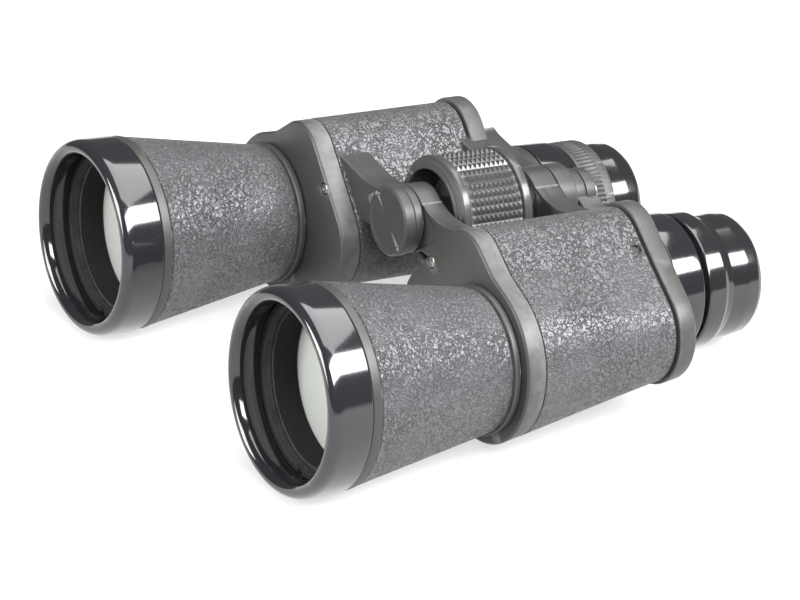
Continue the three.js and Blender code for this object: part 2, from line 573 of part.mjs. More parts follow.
function addEyepiece(group, side, hasDiopter) {
  const x = EYEPIECE_X;
  const guide = [
    [GUIDE_RADIUS - GUIDE_WALL, LID_REAR - LID_PLATE],
    [GUIDE_FOOT, LID_REAR - LID_PLATE],
    [GUIDE_FOOT, LID_REAR + GAP],
    [GUIDE_RADIUS, LID_REAR + GAP],
    [GUIDE_RADIUS, LID_REAR + GUIDE_REACH],
    [GUIDE_RADIUS - GUIDE_WALL, LID_REAR + GUIDE_REACH],
  ];
  add(group, side + "_eyepiece_guide", turned(guide, x, 0, SMALL_SEGMENTS), SATIN_BLACK);
  const sleeve = [
    [RING_BORE, BRIDGE_REAR + GAP],
    [SLEEVE_RADIUS, BRIDGE_REAR + GAP],
    [SLEEVE_RADIUS, SLEEVE_REAR - CHAMFER],
    [SLEEVE_RADIUS - CHAMFER, SLEEVE_REAR],
    [RING_BORE, SLEEVE_REAR],
  ];
  add(group, side + "_eyepiece_sleeve", turned(sleeve, x), GLOSS_BLACK);

  const lensRear = CUP_REAR - EYE_LENS_SETBACK;
  const lensFront = lensRear - EYE_LENS_DEPTH;
  const seatFront = lensFront - EYE_LENS_BULGES[0] / 2;
  const barrelRear = lensRear + BARREL_LIP;
  const fieldFront = LID_REAR + GUIDE_REACH + FIELD_LENS_SETBACK;
  const fieldRear = fieldFront + FIELD_LENS_DEPTH;
  const lipRadius = EYE_LENS_RADIUS - BARREL_LIP_COVER;
  const barrel = [
    [BARREL_BORE, SLEEVE_FRONT - BARREL_LEAD],
    [BARREL_RADIUS, SLEEVE_FRONT - BARREL_LEAD],
    [BARREL_RADIUS, barrelRear],
    [lipRadius, barrelRear],
    [lipRadius, lensRear + GAP],
    [EYE_LENS_RADIUS + GAP, lensRear + GAP],
    [EYE_LENS_RADIUS + GAP, seatFront],
    [BARREL_BORE, seatFront - BARREL_WALL],
  ];
  add(group, side + "_ocular_barrel", turned(barrel, x, 0, SMALL_SEGMENTS), MATT_BLACK);
  const eyeLens = [
    [0, lensFront],
    [EYE_LENS_RADIUS, lensFront + EYE_LENS_BULGES[0]],
    [EYE_LENS_RADIUS, lensRear - EYE_LENS_BULGES[1]],
    [EYE_LENS_RADIUS / 2, lensRear - EYE_LENS_BULGES[1] / 4],
    [0, lensRear],
  ];
  add(group, side + "_eye_lens", turned(eyeLens, x, 0, SMALL_SEGMENTS), GLASS);
  const fieldLens = [
    [0, fieldFront],
    [FIELD_LENS_RADIUS, fieldFront + FIELD_LENS_BULGES[0]],
    [FIELD_LENS_RADIUS, fieldRear - FIELD_LENS_BULGES[1]],
    [0, fieldRear],
  ];
  add(group, side + "_field_lens", turned(fieldLens, x, 0, SMALL_SEGMENTS), GLASS);

  const webFront = barrelRear + GAP;
  const neckStart = CUP_FRONT + DIOPTER_RING_LENGTH;
  const hidden = [
    [RING_BORE, CUP_FRONT + CUP_EDGE],
    [CUP_NECK, CUP_FRONT + CUP_EDGE],
  ];
  const shoulder = [
    [RING_BORE, CUP_FRONT],
    [CUP_RADIUS - CUP_EDGE, CUP_FRONT],
    [CUP_RADIUS, CUP_FRONT + CUP_EDGE],
    [CUP_RADIUS, CUP_FRONT + CUP_SHOULDER],
    [lerp(CUP_NECK, CUP_RADIUS, 0.4), CUP_FRONT + CUP_SHOULDER + CUP_FILLET],
  ];
  const cup = [
    ...(hasDiopter ? hidden : shoulder),
    [CUP_NECK, neckStart],
    [CUP_NECK + CUP_SWELL, lerp(neckStart, CUP_REAR, 0.5)],
    [CUP_NECK, CUP_REAR - CUP_END_ROUND],
    [CUP_END_RADIUS, CUP_REAR],
    [CUP_END_RADIUS - CUP_RIM, CUP_REAR],
    [EYE_LENS_RADIUS, webFront + CUP_FLOOR],
    [EYE_LENS_RADIUS, webFront],
    [RING_BORE, webFront],
  ];
  add(group, side + "_eyecup", turned(cup, x), GLOSS_BLACK);
  if (hasDiopter) {
    const bore = CUP_NECK + GAP;
    const outer = bore + DIOPTER_RING_WALL;
    const ring = [
      [bore, CUP_FRONT],
      [outer - CHAMFER, CUP_FRONT],
      [outer, CUP_FRONT + CHAMFER],
      [outer, neckStart - GAP - CHAMFER],
      [outer - CHAMFER, neckStart - GAP],
      [bore, neckStart - GAP],
    ];
    add(group, "diopter_ring", turned(ring, x), SATIN_BLACK);
  }
}

// A bridge arm: a ring round the ocular barrel, and a bar to its knuckle on the focus rod.
function addBridgeArm(group, side, knuckleFront, knuckleRear) {
  const away = hypot(EYEPIECE_X, HINGE_HEIGHT);
  const toRing = (away - SLEEVE_RADIUS + 2) / away;
  const bar = outline([
    { c: [0, HINGE_HEIGHT], r: BRIDGE_ARM_HALF, steps: 4 },
    { c: [EYEPIECE_X * toRing, HINGE_HEIGHT * (1 - toRing)], r: BRIDGE_ARM_HALF + 1.6, steps: 4 },
  ]);
  const keep = BRIDGE_KNUCKLE_RADIUS + RUN;
  const cut = [SLEEVE_FRONT - PAST, BRIDGE_REAR + PAST];
  const arm = slab(bar, SLEEVE_FRONT, BRIDGE_REAR)
    .subtract(hingePiece(0, keep, ...cut))
    .add(slab(bar, knuckleFront, knuckleRear))
    .add(hingePiece(0, BRIDGE_KNUCKLE_RADIUS, knuckleFront, knuckleRear))
    .add(disc(SLEEVE_RADIUS, SLEEVE_FRONT, BRIDGE_REAR, EYEPIECE_X, 0))
    .subtract(disc(RING_BORE, ...cut, EYEPIECE_X, 0))
    .subtract(hingePiece(0, ROD_RADIUS + RUN, ...cut));
  add(group, side + "_bridge_arm", arm, SATIN_BLACK);
}

// An arm of the hinge: a web from station y0 to y1, clear of the rear cover and the eyepiece, and its own knuckle.
function hingeArm({ y0, y1, knuckle, clear }) {
  const solidOf = (grow) => {
    const webRear = Math.min(y1, LEATHER_REAR - GAP);
    const web = slab(armOutline(grow), y0 - grow, webRear + grow);
    if (webRear === y1) return web;
    const inner = section(LID_FRONT, LID_OVERHANG + LID_CLEARANCE);
    const step = slab(armOutline(grow), webRear - GAP, y1 + grow);
    const past = disc(SLEEVE_RADIUS + LID_CLEARANCE, webRear, y1 + PAST, EYEPIECE_X, 0);
    return web.add(step.subtract(slab(inner.points, webRear, y1 + PAST)).subtract(past));
  };
  const finished = (shell) => {
    let made = shell;
    if (clear) made = made.subtract(hingePiece(0, KNUCKLE_RADIUS + RUN, ...clear));
    const [k0, k1] = knuckle;
    made = made.add(hingePiece(0, KNUCKLE_RADIUS, k0, k1));
    return made.subtract(hingePiece(0, AXLE_RADIUS + GAP, k0 - PAST, k1 + PAST));
  };
  return { solid: solidOf, finish: finished };
}

const LEFT_ARMS = [
  hingeArm({ y0: FRONT_ARM_FRONT, y1: FRONT_ARM_REAR, knuckle: [FRONT_ARM_FRONT, FRONT_ARM_REAR] }),
  hingeArm({ y0: REAR_ARM_FRONT, y1: REAR_ARM_REAR, knuckle: [REAR_ARM_FRONT, REAR_ARM_REAR] }),
];
const RIGHT_ARMS = [
  hingeArm({
    y0: THIN_KNUCKLE_FRONT,
    y1: FRONT_ARM_REAR,
    knuckle: [THIN_KNUCKLE_FRONT, THIN_KNUCKLE_FRONT + FRONT_THIN_KNUCKLE],
    clear: [THIN_KNUCKLE_FRONT + FRONT_THIN_KNUCKLE, FRONT_ARM_REAR + PAST],
  }),
  hingeArm({
    y0: REAR_ARM_FRONT,
    y1: OUTER_KNUCKLE_REAR,
    knuckle: [OUTER_KNUCKLE_FRONT, OUTER_KNUCKLE_REAR],
    clear: [REAR_ARM_FRONT - PAST, OUTER_KNUCKLE_FRONT],
  }),
];

function addBarrel(side, arms, hasDiopter, bridgeKnuckle) {
  const group = new THREE.Group();
  addObjective(group, side);
  addBody(group, side, arms);
  addPrisms(group, side);
  addEyepiece(group, side, hasDiopter);
  addBridgeArm(group, side, ...bridgeKnuckle);
  meshes.add(group);
  return group;
}

const bridgeMiddle = (SLEEVE_FRONT + BRIDGE_REAR) / 2;
addBarrel("left", LEFT_ARMS, false, [SLEEVE_FRONT, bridgeMiddle - GAP / 2]);
addBarrel("right", RIGHT_ARMS, true, [bridgeMiddle + GAP / 2, BRIDGE_REAR]).scale.x = -1;

// ---------- the pieces on the hinge axis ----------

const hinge = new THREE.Group();
hinge.position.z = HINGE_HEIGHT;
meshes.add(hinge);

const cap = [
  [0, CAP_FRONT],
  [CAP_RADIUS - CHAMFER, CAP_FRONT],
  [CAP_RADIUS, CAP_FRONT + CHAMFER],
  [CAP_RADIUS, CAP_REAR],
  [0, CAP_REAR],
];
add(hinge, "hinge_cap", turned(cap), SATIN_BLACK);
const axle = [
  [0, THIN_KNUCKLE_FRONT],
  [AXLE_RADIUS, THIN_KNUCKLE_FRONT],
  [AXLE_RADIUS, OUTER_KNUCKLE_REAR - GAP],
  [AXLE_BORE, OUTER_KNUCKLE_REAR - GAP],
  [AXLE_BORE, ROD_FRONT - ROD_TRAVEL],
  [0, ROD_FRONT - ROD_TRAVEL],
];
add(hinge, "hinge_axle", turned(axle, 0, 0, SMALL_SEGMENTS), STEEL);

const recessEnd = WHEEL_FRONT + WHEEL_RECESS;
const gripRadius = WHEEL_RADIUS - GRIP_INSET;
const ringFront = WHEEL_FRONT + WHEEL_BEVEL[1];
const wheel = [
  [WHEEL_MOUTH, WHEEL_FRONT],
  [WHEEL_RADIUS - WHEEL_BEVEL[0], WHEEL_FRONT],
  [WHEEL_RADIUS, ringFront],
  [WHEEL_RADIUS, ringFront + RING_LENGTH],
  [gripRadius, ringFront + RING_LENGTH + GRIP_STEP],
  [gripRadius, WHEEL_REAR - RING_LENGTH - GRIP_STEP],
  [WHEEL_RADIUS, WHEEL_REAR - RING_LENGTH],
  [WHEEL_RADIUS, WHEEL_REAR - WHEEL_REAR_BEVEL],
  [WHEEL_RADIUS - WHEEL_REAR_BEVEL, WHEEL_REAR],
  [AXLE_RADIUS + RUN, WHEEL_REAR],
  [AXLE_RADIUS + RUN, recessEnd],
  [WHEEL_MOUTH, recessEnd],
];
add(hinge, "focus_wheel", turned(wheel), GLOSS_BLACK);
add(hinge, "focus_rod", disc(ROD_RADIUS, ROD_FRONT, BRIDGE_REAR, 0, 0, SMALL_SEGMENTS), STEEL);
const screwFront = BRIDGE_REAR + GAP;
const screwRear = screwFront + BRIDGE_SCREW_DEPTH;
const slotFront = screwRear - BRIDGE_SCREW_DEPTH / 2;
const [slotReach, slotHalf] = [BRIDGE_SCREW_RADIUS + PAST, BRIDGE_SCREW_SLOT / 2];
const slot = box(-slotReach, slotReach, slotFront, screwRear + PAST, -slotHalf, slotHalf);
const screw = disc(BRIDGE_SCREW_RADIUS, screwFront, screwRear, 0, 0, SMALL_SEGMENTS);
add(hinge, "bridge_screw", screw.subtract(slot), STEEL);

// ---------- the rest attitude ----------

// The rear tips down until the eyepiece sleeves touch the table that the bezels' rear edges stand on.
const TILT = atan2(BEZEL_RADIUS - SLEEVE_RADIUS, SLEEVE_REAR - CHAMFER - BEZEL_REAR);
meshes.rotation.x = -TILT;
const instrument = new THREE.Group();
instrument.add(meshes);
instrument.updateMatrixWorld(true);
const bounds = new THREE.Box3().setFromObject(instrument, true);
instrument.position.set(
  -(bounds.min.x + bounds.max.x) / 2,
  -(bounds.min.y + bounds.max.y) / 2,
  -bounds.min.z,
);

export default instrument;
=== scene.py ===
# Finished surfaces, materials and studio for a pair of centre-focus Porro-prism binoculars.
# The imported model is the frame: every piece here takes its place and its size from the node that it replaces.
# Lengths are millimetres in the instrument's own directions, and become metres when a mesh is made.
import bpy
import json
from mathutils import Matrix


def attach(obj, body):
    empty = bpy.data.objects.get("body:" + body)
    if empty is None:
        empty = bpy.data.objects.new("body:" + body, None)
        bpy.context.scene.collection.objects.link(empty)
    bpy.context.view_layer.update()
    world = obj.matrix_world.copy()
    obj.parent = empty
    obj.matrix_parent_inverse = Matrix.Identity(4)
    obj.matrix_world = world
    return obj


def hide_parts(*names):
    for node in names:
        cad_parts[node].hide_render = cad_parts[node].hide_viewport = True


bl_info = {
    "name": "Porro-prism binoculars",
    "version": (1, 0, 0),
    "blender": (4, 5, 0),
    "location": "View3D > Sidebar > Binoculars",
    "description": "Builds the surfaces and materials of a pair of binoculars round its working model",
    "category": "Add Mesh",
}

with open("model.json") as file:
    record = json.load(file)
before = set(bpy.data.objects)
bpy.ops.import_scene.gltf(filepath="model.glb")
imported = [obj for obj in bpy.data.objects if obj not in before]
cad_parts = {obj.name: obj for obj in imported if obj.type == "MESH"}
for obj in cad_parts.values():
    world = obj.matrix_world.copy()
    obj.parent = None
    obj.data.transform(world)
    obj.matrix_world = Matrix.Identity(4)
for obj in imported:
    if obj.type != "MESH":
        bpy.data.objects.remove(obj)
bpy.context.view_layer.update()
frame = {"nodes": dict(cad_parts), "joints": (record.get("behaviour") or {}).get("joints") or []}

import json
import math

import bmesh
import bpy
import numpy as np
from bpy.props import FloatProperty, FloatVectorProperty, IntProperty, PointerProperty
from mathutils import Matrix, Vector

MM = 0.001
SIDES = (("left", 1), ("right", -1))
TURN_STEPS = 160
CREASE_ANGLE = math.radians(32)

# ---------- the instrument's directions, from the joints ----------

JOINTS = {joint["name"]: joint for joint in frame["joints"]}
ALONG = np.array(JOINTS["interpupillary_hinge"]["axis"], dtype=float)
ALONG /= np.linalg.norm(ALONG)
ACROSS = np.array([1.0, 0.0, 0.0])
UPWARD = np.cross(ACROSS, ALONG)
OPTICAL_HEIGHT = float(UPWARD @ np.array(JOINTS["diopter_turn"]["pos_m"])) / MM
HINGE_HEIGHT = float(UPWARD @ np.array(JOINTS["interpupillary_hinge"]["pos_m"])) / MM - OPTICAL_HEIGHT
BASIS = np.array([ACROSS, ALONG, UPWARD])


def to_frame(points):
    """Points (across, along, up) in millimetres to metres in the frame: a sum along three directions."""
    return (np.asarray(points, dtype=float) @ BASIS + UPWARD * OPTICAL_HEIGHT) * MM


def points_of(node):
    """A node's vertices as (across, along, up) in millimetres, up from the plane of the optical axes."""
    mesh = frame["nodes"][node].data
    flat = np.empty(len(mesh.vertices) * 3)
    mesh.vertices.foreach_get("co", flat)
    return (flat.reshape(-1, 3) / MM) @ BASIS.T - np.array([0.0, 0.0, OPTICAL_HEIGHT])


def span(node):
    """The first and last station of a node along the optical direction."""
    along = points_of(node)[:, 1]
    return float(along.min()), float(along.max())


def reach(node, x, height):
    """The smallest and largest distance of a node's vertices from an axis at (x, height)."""
    points = points_of(node)
    away = np.hypot(points[:, 0] - x, points[:, 2] - height)
    return float(away.min()), float(away.max())


def axis_x(node):
    """The place across of a round node's axis: the middle of its width."""
    across = points_of(node)[:, 0]
    return float(across.min() + across.max()) / 2


OBJECTIVE_X = axis_x("left_objective_bezel")
EYEPIECE_X = axis_x("left_eyepiece_sleeve")
BODY_FRONT, COVER_REAR = span("left_front_cover")
LID_FRONT, LID_REAR = span("left_rear_cover")

# The body's section: lobes round the objective, the folded light path and the eyepiece
OBJECTIVE_LOBE = (26.0, 16.0)
OBJECTIVE_LOBE_SHIFT = (5.7, 3.5)
TOP_LOBE_RADIUS = 12.6
EYEPIECE_LOBE_RADIUS = 16.0
EYEPIECE_LOBE_SHIFT = (0.9, 1.3)
WAIST_RADIUS = 14.0
WAIST_DEPTH = (1.2, 0.2)
FOLD = (OBJECTIVE_X - EYEPIECE_X) / 2
LID_OVERHANG = 1.3
LEATHER_PROUD = 0.1
LEATHER_THICKNESS = 1.2
LOBE_STEPS = 40
WAIST_STEPS = 16
STRAIGHT_STEPS = 10

KNUCKLE_RADIUS = 10.7
ARM_RISE = 5.6
ARM_DROP = 7.5
ARM_REACH = 41.0
HINGE_GAP = 0.3
LUG_WIDTH = 2.8
FRONT_ARM_WIDTH = 7.3
REAR_ARM_AHEAD = 3.7
REAR_ARM_WIDTH = 8.7
OUTER_LUG_WIDTH = 6.4
FLUSH = 0.03
AXLE_BORE = 5.3
NOTCH_HALF_WIDTH = 1.5
NOTCH_DEPTH = 1.1


# ---------- sizes and colours that a user may change ----------

def tint(name, description, default):
    """A colour setting of the panel."""
    return FloatVectorProperty(name=name, description=description, subtype="COLOR", size=3, default=default)


class BinocularSizes(bpy.types.PropertyGroup):
    knurl_columns: IntProperty(name="Knurl columns", description="Pyramids along it", default=11, min=4)
    knurl_rows: IntProperty(name="Knurl rows", description="Pyramids round it", default=42, min=12)
    knurl_depth: FloatProperty(name="Knurl depth", description="Height of a pyramid (mm)", default=1.0)
    dioptre_ribs: IntProperty(name="Dioptre ribs", description="Ribs round the ring", default=84, min=12)
    rib_depth: FloatProperty(name="Rib depth", description="Depth of a rib (mm)", default=0.4)
    edge: FloatProperty(name="Edge", description="Rounding of the cast edges (mm)", default=0.5)
    crease_depth: FloatProperty(name="Crease depth", description="Leatherette relief (mm)", default=0.16)


class BinocularColours(bpy.types.PropertyGroup):
    enamel: tint("Enamel", "Satin enamel of the castings", (0.032, 0.033, 0.030))
    gloss: tint("Gloss enamel", "Gloss black of the bezels", (0.012, 0.012, 0.014))
    leather: tint("Leatherette", "Body covering", (0.070, 0.070, 0.073))
    wheel: tint("Focus wheel", "Moulded wheel", (0.040, 0.040, 0.041))
    eyecup: tint("Eyecups", "Polished eyecups", (0.012, 0.012, 0.013))
    glass: tint("Glass", "Tint of the coated lenses", (0.58, 0.60, 0.56))


# ---------- surfaces ----------

def grid_quads(rows, columns, close_rows=False, close_columns=True):
    """Quads of a grid: each joins a point and its neighbour to the same two points of the next row."""
    row = np.arange(rows if close_rows else rows - 1)
    column = np.arange(columns if close_columns else columns - 1)
    i, j = np.meshgrid(row, column, indexing="ij")
    i_next = (i + 1) % rows
    j_next = (j + 1) % columns
    corners = [i * columns + j, i * columns + j_next, i_next * columns + j_next, i_next * columns + j]
    return np.stack(corners, axis=-1).reshape(-1, 4)


def mesh_from(name, points, faces):
    """A mesh of (across, along, up) points and equal faces, welded, facing outwards, with sharp creases."""
    mesh = bpy.data.meshes.new(name)
    mesh.vertices.add(len(points))
    mesh.vertices.foreach_set("co", to_frame(points).astype(np.float32).ravel())
    sides = faces.shape[1]
    mesh.loops.add(faces.size)
    mesh.loops.foreach_set("vertex_index", faces.astype(np.int32).ravel())
    mesh.polygons.add(len(faces))
    mesh.polygons.foreach_set("loop_start", np.arange(0, faces.size, sides, dtype=np.int32))
    mesh.update(calc_edges=True)
    work = bmesh.new()
    work.from_mesh(mesh)
    bmesh.ops.remove_doubles(work, verts=work.verts, dist=2e-7)
    bmesh.ops.dissolve_degenerate(work, edges=work.edges, dist=1e-8)
    bmesh.ops.recalc_face_normals(work, faces=work.faces)
    work.to_mesh(mesh)
    work.free()
    mesh.validate()
    mesh.polygons.foreach_set("use_smooth", np.ones(len(mesh.polygons), dtype=bool))
    mesh.set_sharp_from_angle(angle=CREASE_ANGLE)
    mesh.update()
    return mesh


def place(name, mesh, finish, body, *nodes, slot=None):
    """Puts a mesh in the scene with its material, on its body and in the place of its nodes."""
    piece = bpy.data.objects.new(name, mesh)
    bpy.context.scene.collection.objects.link(piece)
    piece.data.materials.clear()
    piece.data.materials.append(material(finish))
    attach(piece, body)
    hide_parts(*nodes)
    return piece


def rounded(corners, steps=6):
    """A profile through corners (radius, station, fillet): a fillet is an arc touching both sides."""
    flat = [np.array(corner[:2], dtype=float) for corner in corners]
    made = []
    for i, corner in enumerate(corners):
        here = flat[i]
        fillet = corner[2] if len(corner) > 2 else 0
        if fillet <= 0:
            made.append(here[None])
            continue
        back = flat[i - 1] - here
        onward = flat[(i + 1) % len(flat)] - here
        back_length = np.linalg.norm(back)
        onward_length = np.linalg.norm(onward)
        back = back / back_length
        onward = onward / onward_length
        half = math.acos(float(np.clip(back @ onward, -0.9999, 0.9999))) / 2
        touch = min(fillet / math.tan(half), 0.49 * back_length, 0.49 * onward_length)
        bisector = (back + onward) / np.linalg.norm(back + onward)
        centre = here + bisector * touch / math.cos(half)
        start = here + back * touch - centre
        end = here + onward * touch - centre
        first = math.atan2(start[1], start[0])
        sweep = (math.atan2(end[1], end[0]) - first + math.pi) % (2 * math.pi) - math.pi
        angle = first + sweep * np.linspace(0, 1, steps + 1)
        arc = np.stack([np.cos(angle), np.sin(angle)], axis=1)
        made.append(centre + touch * math.tan(half) * arc)
    return np.vstack(made)


def turned(name, profile, x, height, steps=TURN_STEPS, relief=None):
    """A profile turned round an axis: (x + r cos a, s, height + r sin a), r and s moved by a relief."""
    profile = np.asarray(profile, dtype=float)
    angle = np.linspace(0, 2 * math.pi, steps, endpoint=False)
    radius = np.repeat(profile[:, :1], steps, axis=1)
    station = np.repeat(profile[:, 1:2], steps, axis=1)
    if relief is not None:
        radius, station = relief(radius, station, angle[None, :])
    points = np.stack([x + radius * np.cos(angle), station, height + radius * np.sin(angle)], axis=-1)
    return mesh_from(name, points.reshape(-1, 3), grid_quads(len(profile), steps, close_rows=True))


def place_turned(name, profile, x, height, steps, finish, body, *nodes, relief=None):
    """Places a turned piece."""
    return place(name, turned(name, profile, x, height, steps, relief), finish, body, *nodes)


def skin_between(name, rings):
    """A closed skin through rings, an array (rings, points, 3), with its two ends filled flat."""
    rings = np.asarray(rings, dtype=float)
    middle_first = rings[0].mean(axis=0)
    middle_last = rings[-1].mean(axis=0)
    share = np.linspace(0, 1, 4)[:, None, None]
    first = middle_first + (rings[0] - middle_first) * share
    last = middle_last + (rings[-1] - middle_last) * share[::-1]
    stacked = np.concatenate([first, rings[1:-1], last])
    quads = grid_quads(len(stacked), rings.shape[1])
    return mesh_from(name, stacked.reshape(-1, 3), quads)


def normals_of(outline):
    """Outward unit normals of a counter-clockwise closed outline: its central differences turned right."""
    along = np.roll(outline, -1, axis=0) - np.roll(outline, 1, axis=0)
    normal = np.stack([along[:, 1], -along[:, 0]], axis=1)
    return normal / np.linalg.norm(normal, axis=1, keepdims=True)


def slab(name, outline, front, rear, edge=0.5, rear_edge=None, steps=4):
    """An outline carried from one station to another, drawn in by a quarter circle at each end."""
    normal = normals_of(outline)
    rear_edge = edge if rear_edge is None else rear_edge
    turn = np.linspace(0, math.pi / 2, steps + 1)
    inset = np.concatenate([edge * (1 - np.sin(turn)), rear_edge * (1 - np.cos(turn))])
    station = np.concatenate([front + edge * (1 - np.cos(turn)), rear - rear_edge + rear_edge * np.sin(turn)])
    flat = outline[None] - normal[None] * inset[:, None, None]
    along = np.broadcast_to(station[:, None], flat.shape[:2])
    return skin_between(name, np.stack([flat[..., 0], along, flat[..., 1]], axis=-1))


def cut(piece, *cutters):
    """Takes the cutters' meshes out of a piece and keeps the creases sharp."""
    for mesh in cutters:
        cutter = bpy.data.objects.new("cutter", mesh)
        bpy.context.scene.collection.objects.link(cutter)
        change = piece.modifiers.new("cut", "BOOLEAN")
        change.operation = "DIFFERENCE"
        change.solver = "EXACT"
        change.object = cutter
        bpy.context.view_layer.update()
        shape = bpy.data.meshes.new_from_object(piece.evaluated_get(bpy.context.evaluated_depsgraph_get()))
        piece.modifiers.clear()
        piece.data = shape
        bpy.data.objects.remove(cutter)
    piece.data.polygons.foreach_set("use_smooth", np.ones(len(piece.data.polygons), dtype=bool))
    piece.data.set_sharp_from_angle(angle=CREASE_ANGLE)


def ring_profile(inner, outer, front, rear, edge=0.3, bore_edge=0.0):
    """The profile of a plain ring with rounded outer edges."""
    return rounded([
        (inner, front, bore_edge), (outer, front, edge), (outer, rear, edge), (inner, rear, bore_edge),
    ])


# ---------- the body's section ----------

def tangent(a, b):
    """The line that touches two lobes on their outer side: its outward angle and its touching points."""
    across = np.array(b[0]) - np.array(a[0])
    angle = math.atan2(across[1], across[0]) - math.acos((a[1] - b[1]) / np.linalg.norm(across))
    outward = np.array([math.cos(angle), math.sin(angle)])
    return angle, outward, [np.array(lobe[0]) + lobe[1] * outward for lobe in (a, b)]


def round_lobes(lobes):
    """The outline round lobes (centre, radius, steps, straight): arcs joined by the lines that touch them."""
    lines = [tangent(lobe, lobes[(i + 1) % len(lobes)]) for i, lobe in enumerate(lobes)]
    made = []
    for i, (centre, radius, steps, straight) in enumerate(lobes):
        first = lines[i - 1][0]
        sweep = math.fmod(lines[i][0] - first, 2 * math.pi)
        if radius > 0 > sweep:
            sweep += 2 * math.pi
        if radius < 0 < sweep:
            sweep -= 2 * math.pi
        angle = first + sweep * np.linspace(0, 1, steps + 1)
        made.append(np.array(centre) + radius * np.stack([np.cos(angle), np.sin(angle)], axis=1))
        start, end = lines[i][2]
        share = (np.arange(straight) + 1)[:, None] / (straight + 1)
        made.append(start + (end - start) * share)
    return np.vstack(made)


def end_outline(t, grow):
    """The body's outline at its front (t = 0) or at the rear cover (t = 1), grown outwards."""
    centre = (OBJECTIVE_X + OBJECTIVE_LOBE_SHIFT[0] * t, OBJECTIVE_LOBE_SHIFT[1] * t)
    objective = (centre, OBJECTIVE_LOBE[0] + (OBJECTIVE_LOBE[1] - OBJECTIVE_LOBE[0]) * t)
    top = ((EYEPIECE_X + FOLD + 1.1, FOLD + 8.0), TOP_LOBE_RADIUS)
    eyepiece = ((EYEPIECE_X + EYEPIECE_LOBE_SHIFT[0], EYEPIECE_LOBE_SHIFT[1]), EYEPIECE_LOBE_RADIUS)
    _, outward, (start, end) = tangent(objective, top)
    depth = WAIST_DEPTH[0] + (WAIST_DEPTH[1] - WAIST_DEPTH[0]) * t
    waist = (tuple((start + end) / 2 + outward * (WAIST_RADIUS - depth)), -WAIST_RADIUS)
    lobes = [
        (objective, LOBE_STEPS + 20, 4),
        (waist, WAIST_STEPS, 4),
        (top, LOBE_STEPS, STRAIGHT_STEPS),
        (eyepiece, LOBE_STEPS, STRAIGHT_STEPS),
    ]
    return round_lobes([(lobe[0], lobe[1] + grow, steps, straight) for lobe, steps, straight in lobes])


def section(station, grow):
    """The body's outline at a station: ruled straight from its front outline to its rear one."""
    t = (station - BODY_FRONT) / (LID_FRONT - BODY_FRONT)
    return end_outline(0, grow) * (1 - t) + end_outline(1, grow) * t


def body_rings(stations, grows, side):
    """Rings of the body's skin at stations, each grown by its own amount, mirrored for the right barrel."""
    made = []
    for station, grow in zip(stations, grows):
        flat = section(station, grow)
        made.append(np.stack([flat[:, 0] * side, np.full(len(flat), station), flat[:, 1]], axis=1))
    return np.array(made)


def wrinkle(points, seed, scale, waves=9):
    """Smooth waves: the mean of sines whose directions, paces and phases come from a seeded draw."""
    draw = np.random.default_rng(seed)
    total = np.zeros(points.shape[:-1])
    for _ in range(waves):
        direction = draw.normal(size=3)
        direction /= np.linalg.norm(direction)
        pace = 2 * math.pi / (scale * draw.uniform(0.6, 1.7))
        bend = np.sin(points @ draw.normal(size=3) * 0.35 + draw.uniform(0, 6))
        total += np.sin(points @ direction * pace + 1.4 * bend + draw.uniform(0, 6))
    return total / waves


# ---------- shader groups ----------

def node_group(name, inputs, outputs):
    """An empty shader group with named float or colour sockets."""
    group = bpy.data.node_groups.new(name, "ShaderNodeTree")
    for label, kind, default in inputs:
        socket = group.interface.new_socket(name=label, in_out="INPUT", socket_type=kind)
        socket.default_value = default
    for label, kind in outputs:
        group.interface.new_socket(name=label, in_out="OUTPUT", socket_type=kind)
    return group


def add_node(tree, kind, **settings):
    """A node with its settings and the values of its unlinked inputs."""
    node = tree.nodes.new(kind)
    for key, value in settings.items():
        if key == "values":
            for label, number in value.items():
                node.inputs[label].default_value = number
        else:
            setattr(node, key, value)
    return node


def ramp(tree, source, stops):
    """A colour ramp fed by a socket, as (position, grey) stops."""
    node = tree.nodes.new("ShaderNodeValToRGB")
    elements = node.color_ramp.elements
    while len(elements) < len(stops):
        elements.new(0.5)
    for element, (position, grey) in zip(elements, stops):
        element.position = position
        element.color = (grey, grey, grey, 1)
    tree.links.new(source, node.inputs["Fac"])
    return node.outputs["Color"]


def scaled_math(tree, operation, a, b):
    """A math node whose inputs are sockets or numbers."""
    node = add_node(tree, "ShaderNodeMath", operation=operation)
    for socket, value in zip(node.inputs, (a, b)):
        if isinstance(value, (int, float)):
            socket.default_value = value
        else:
            tree.links.new(value, socket)
    return node.outputs[0]


FLOAT = "NodeSocketFloat"


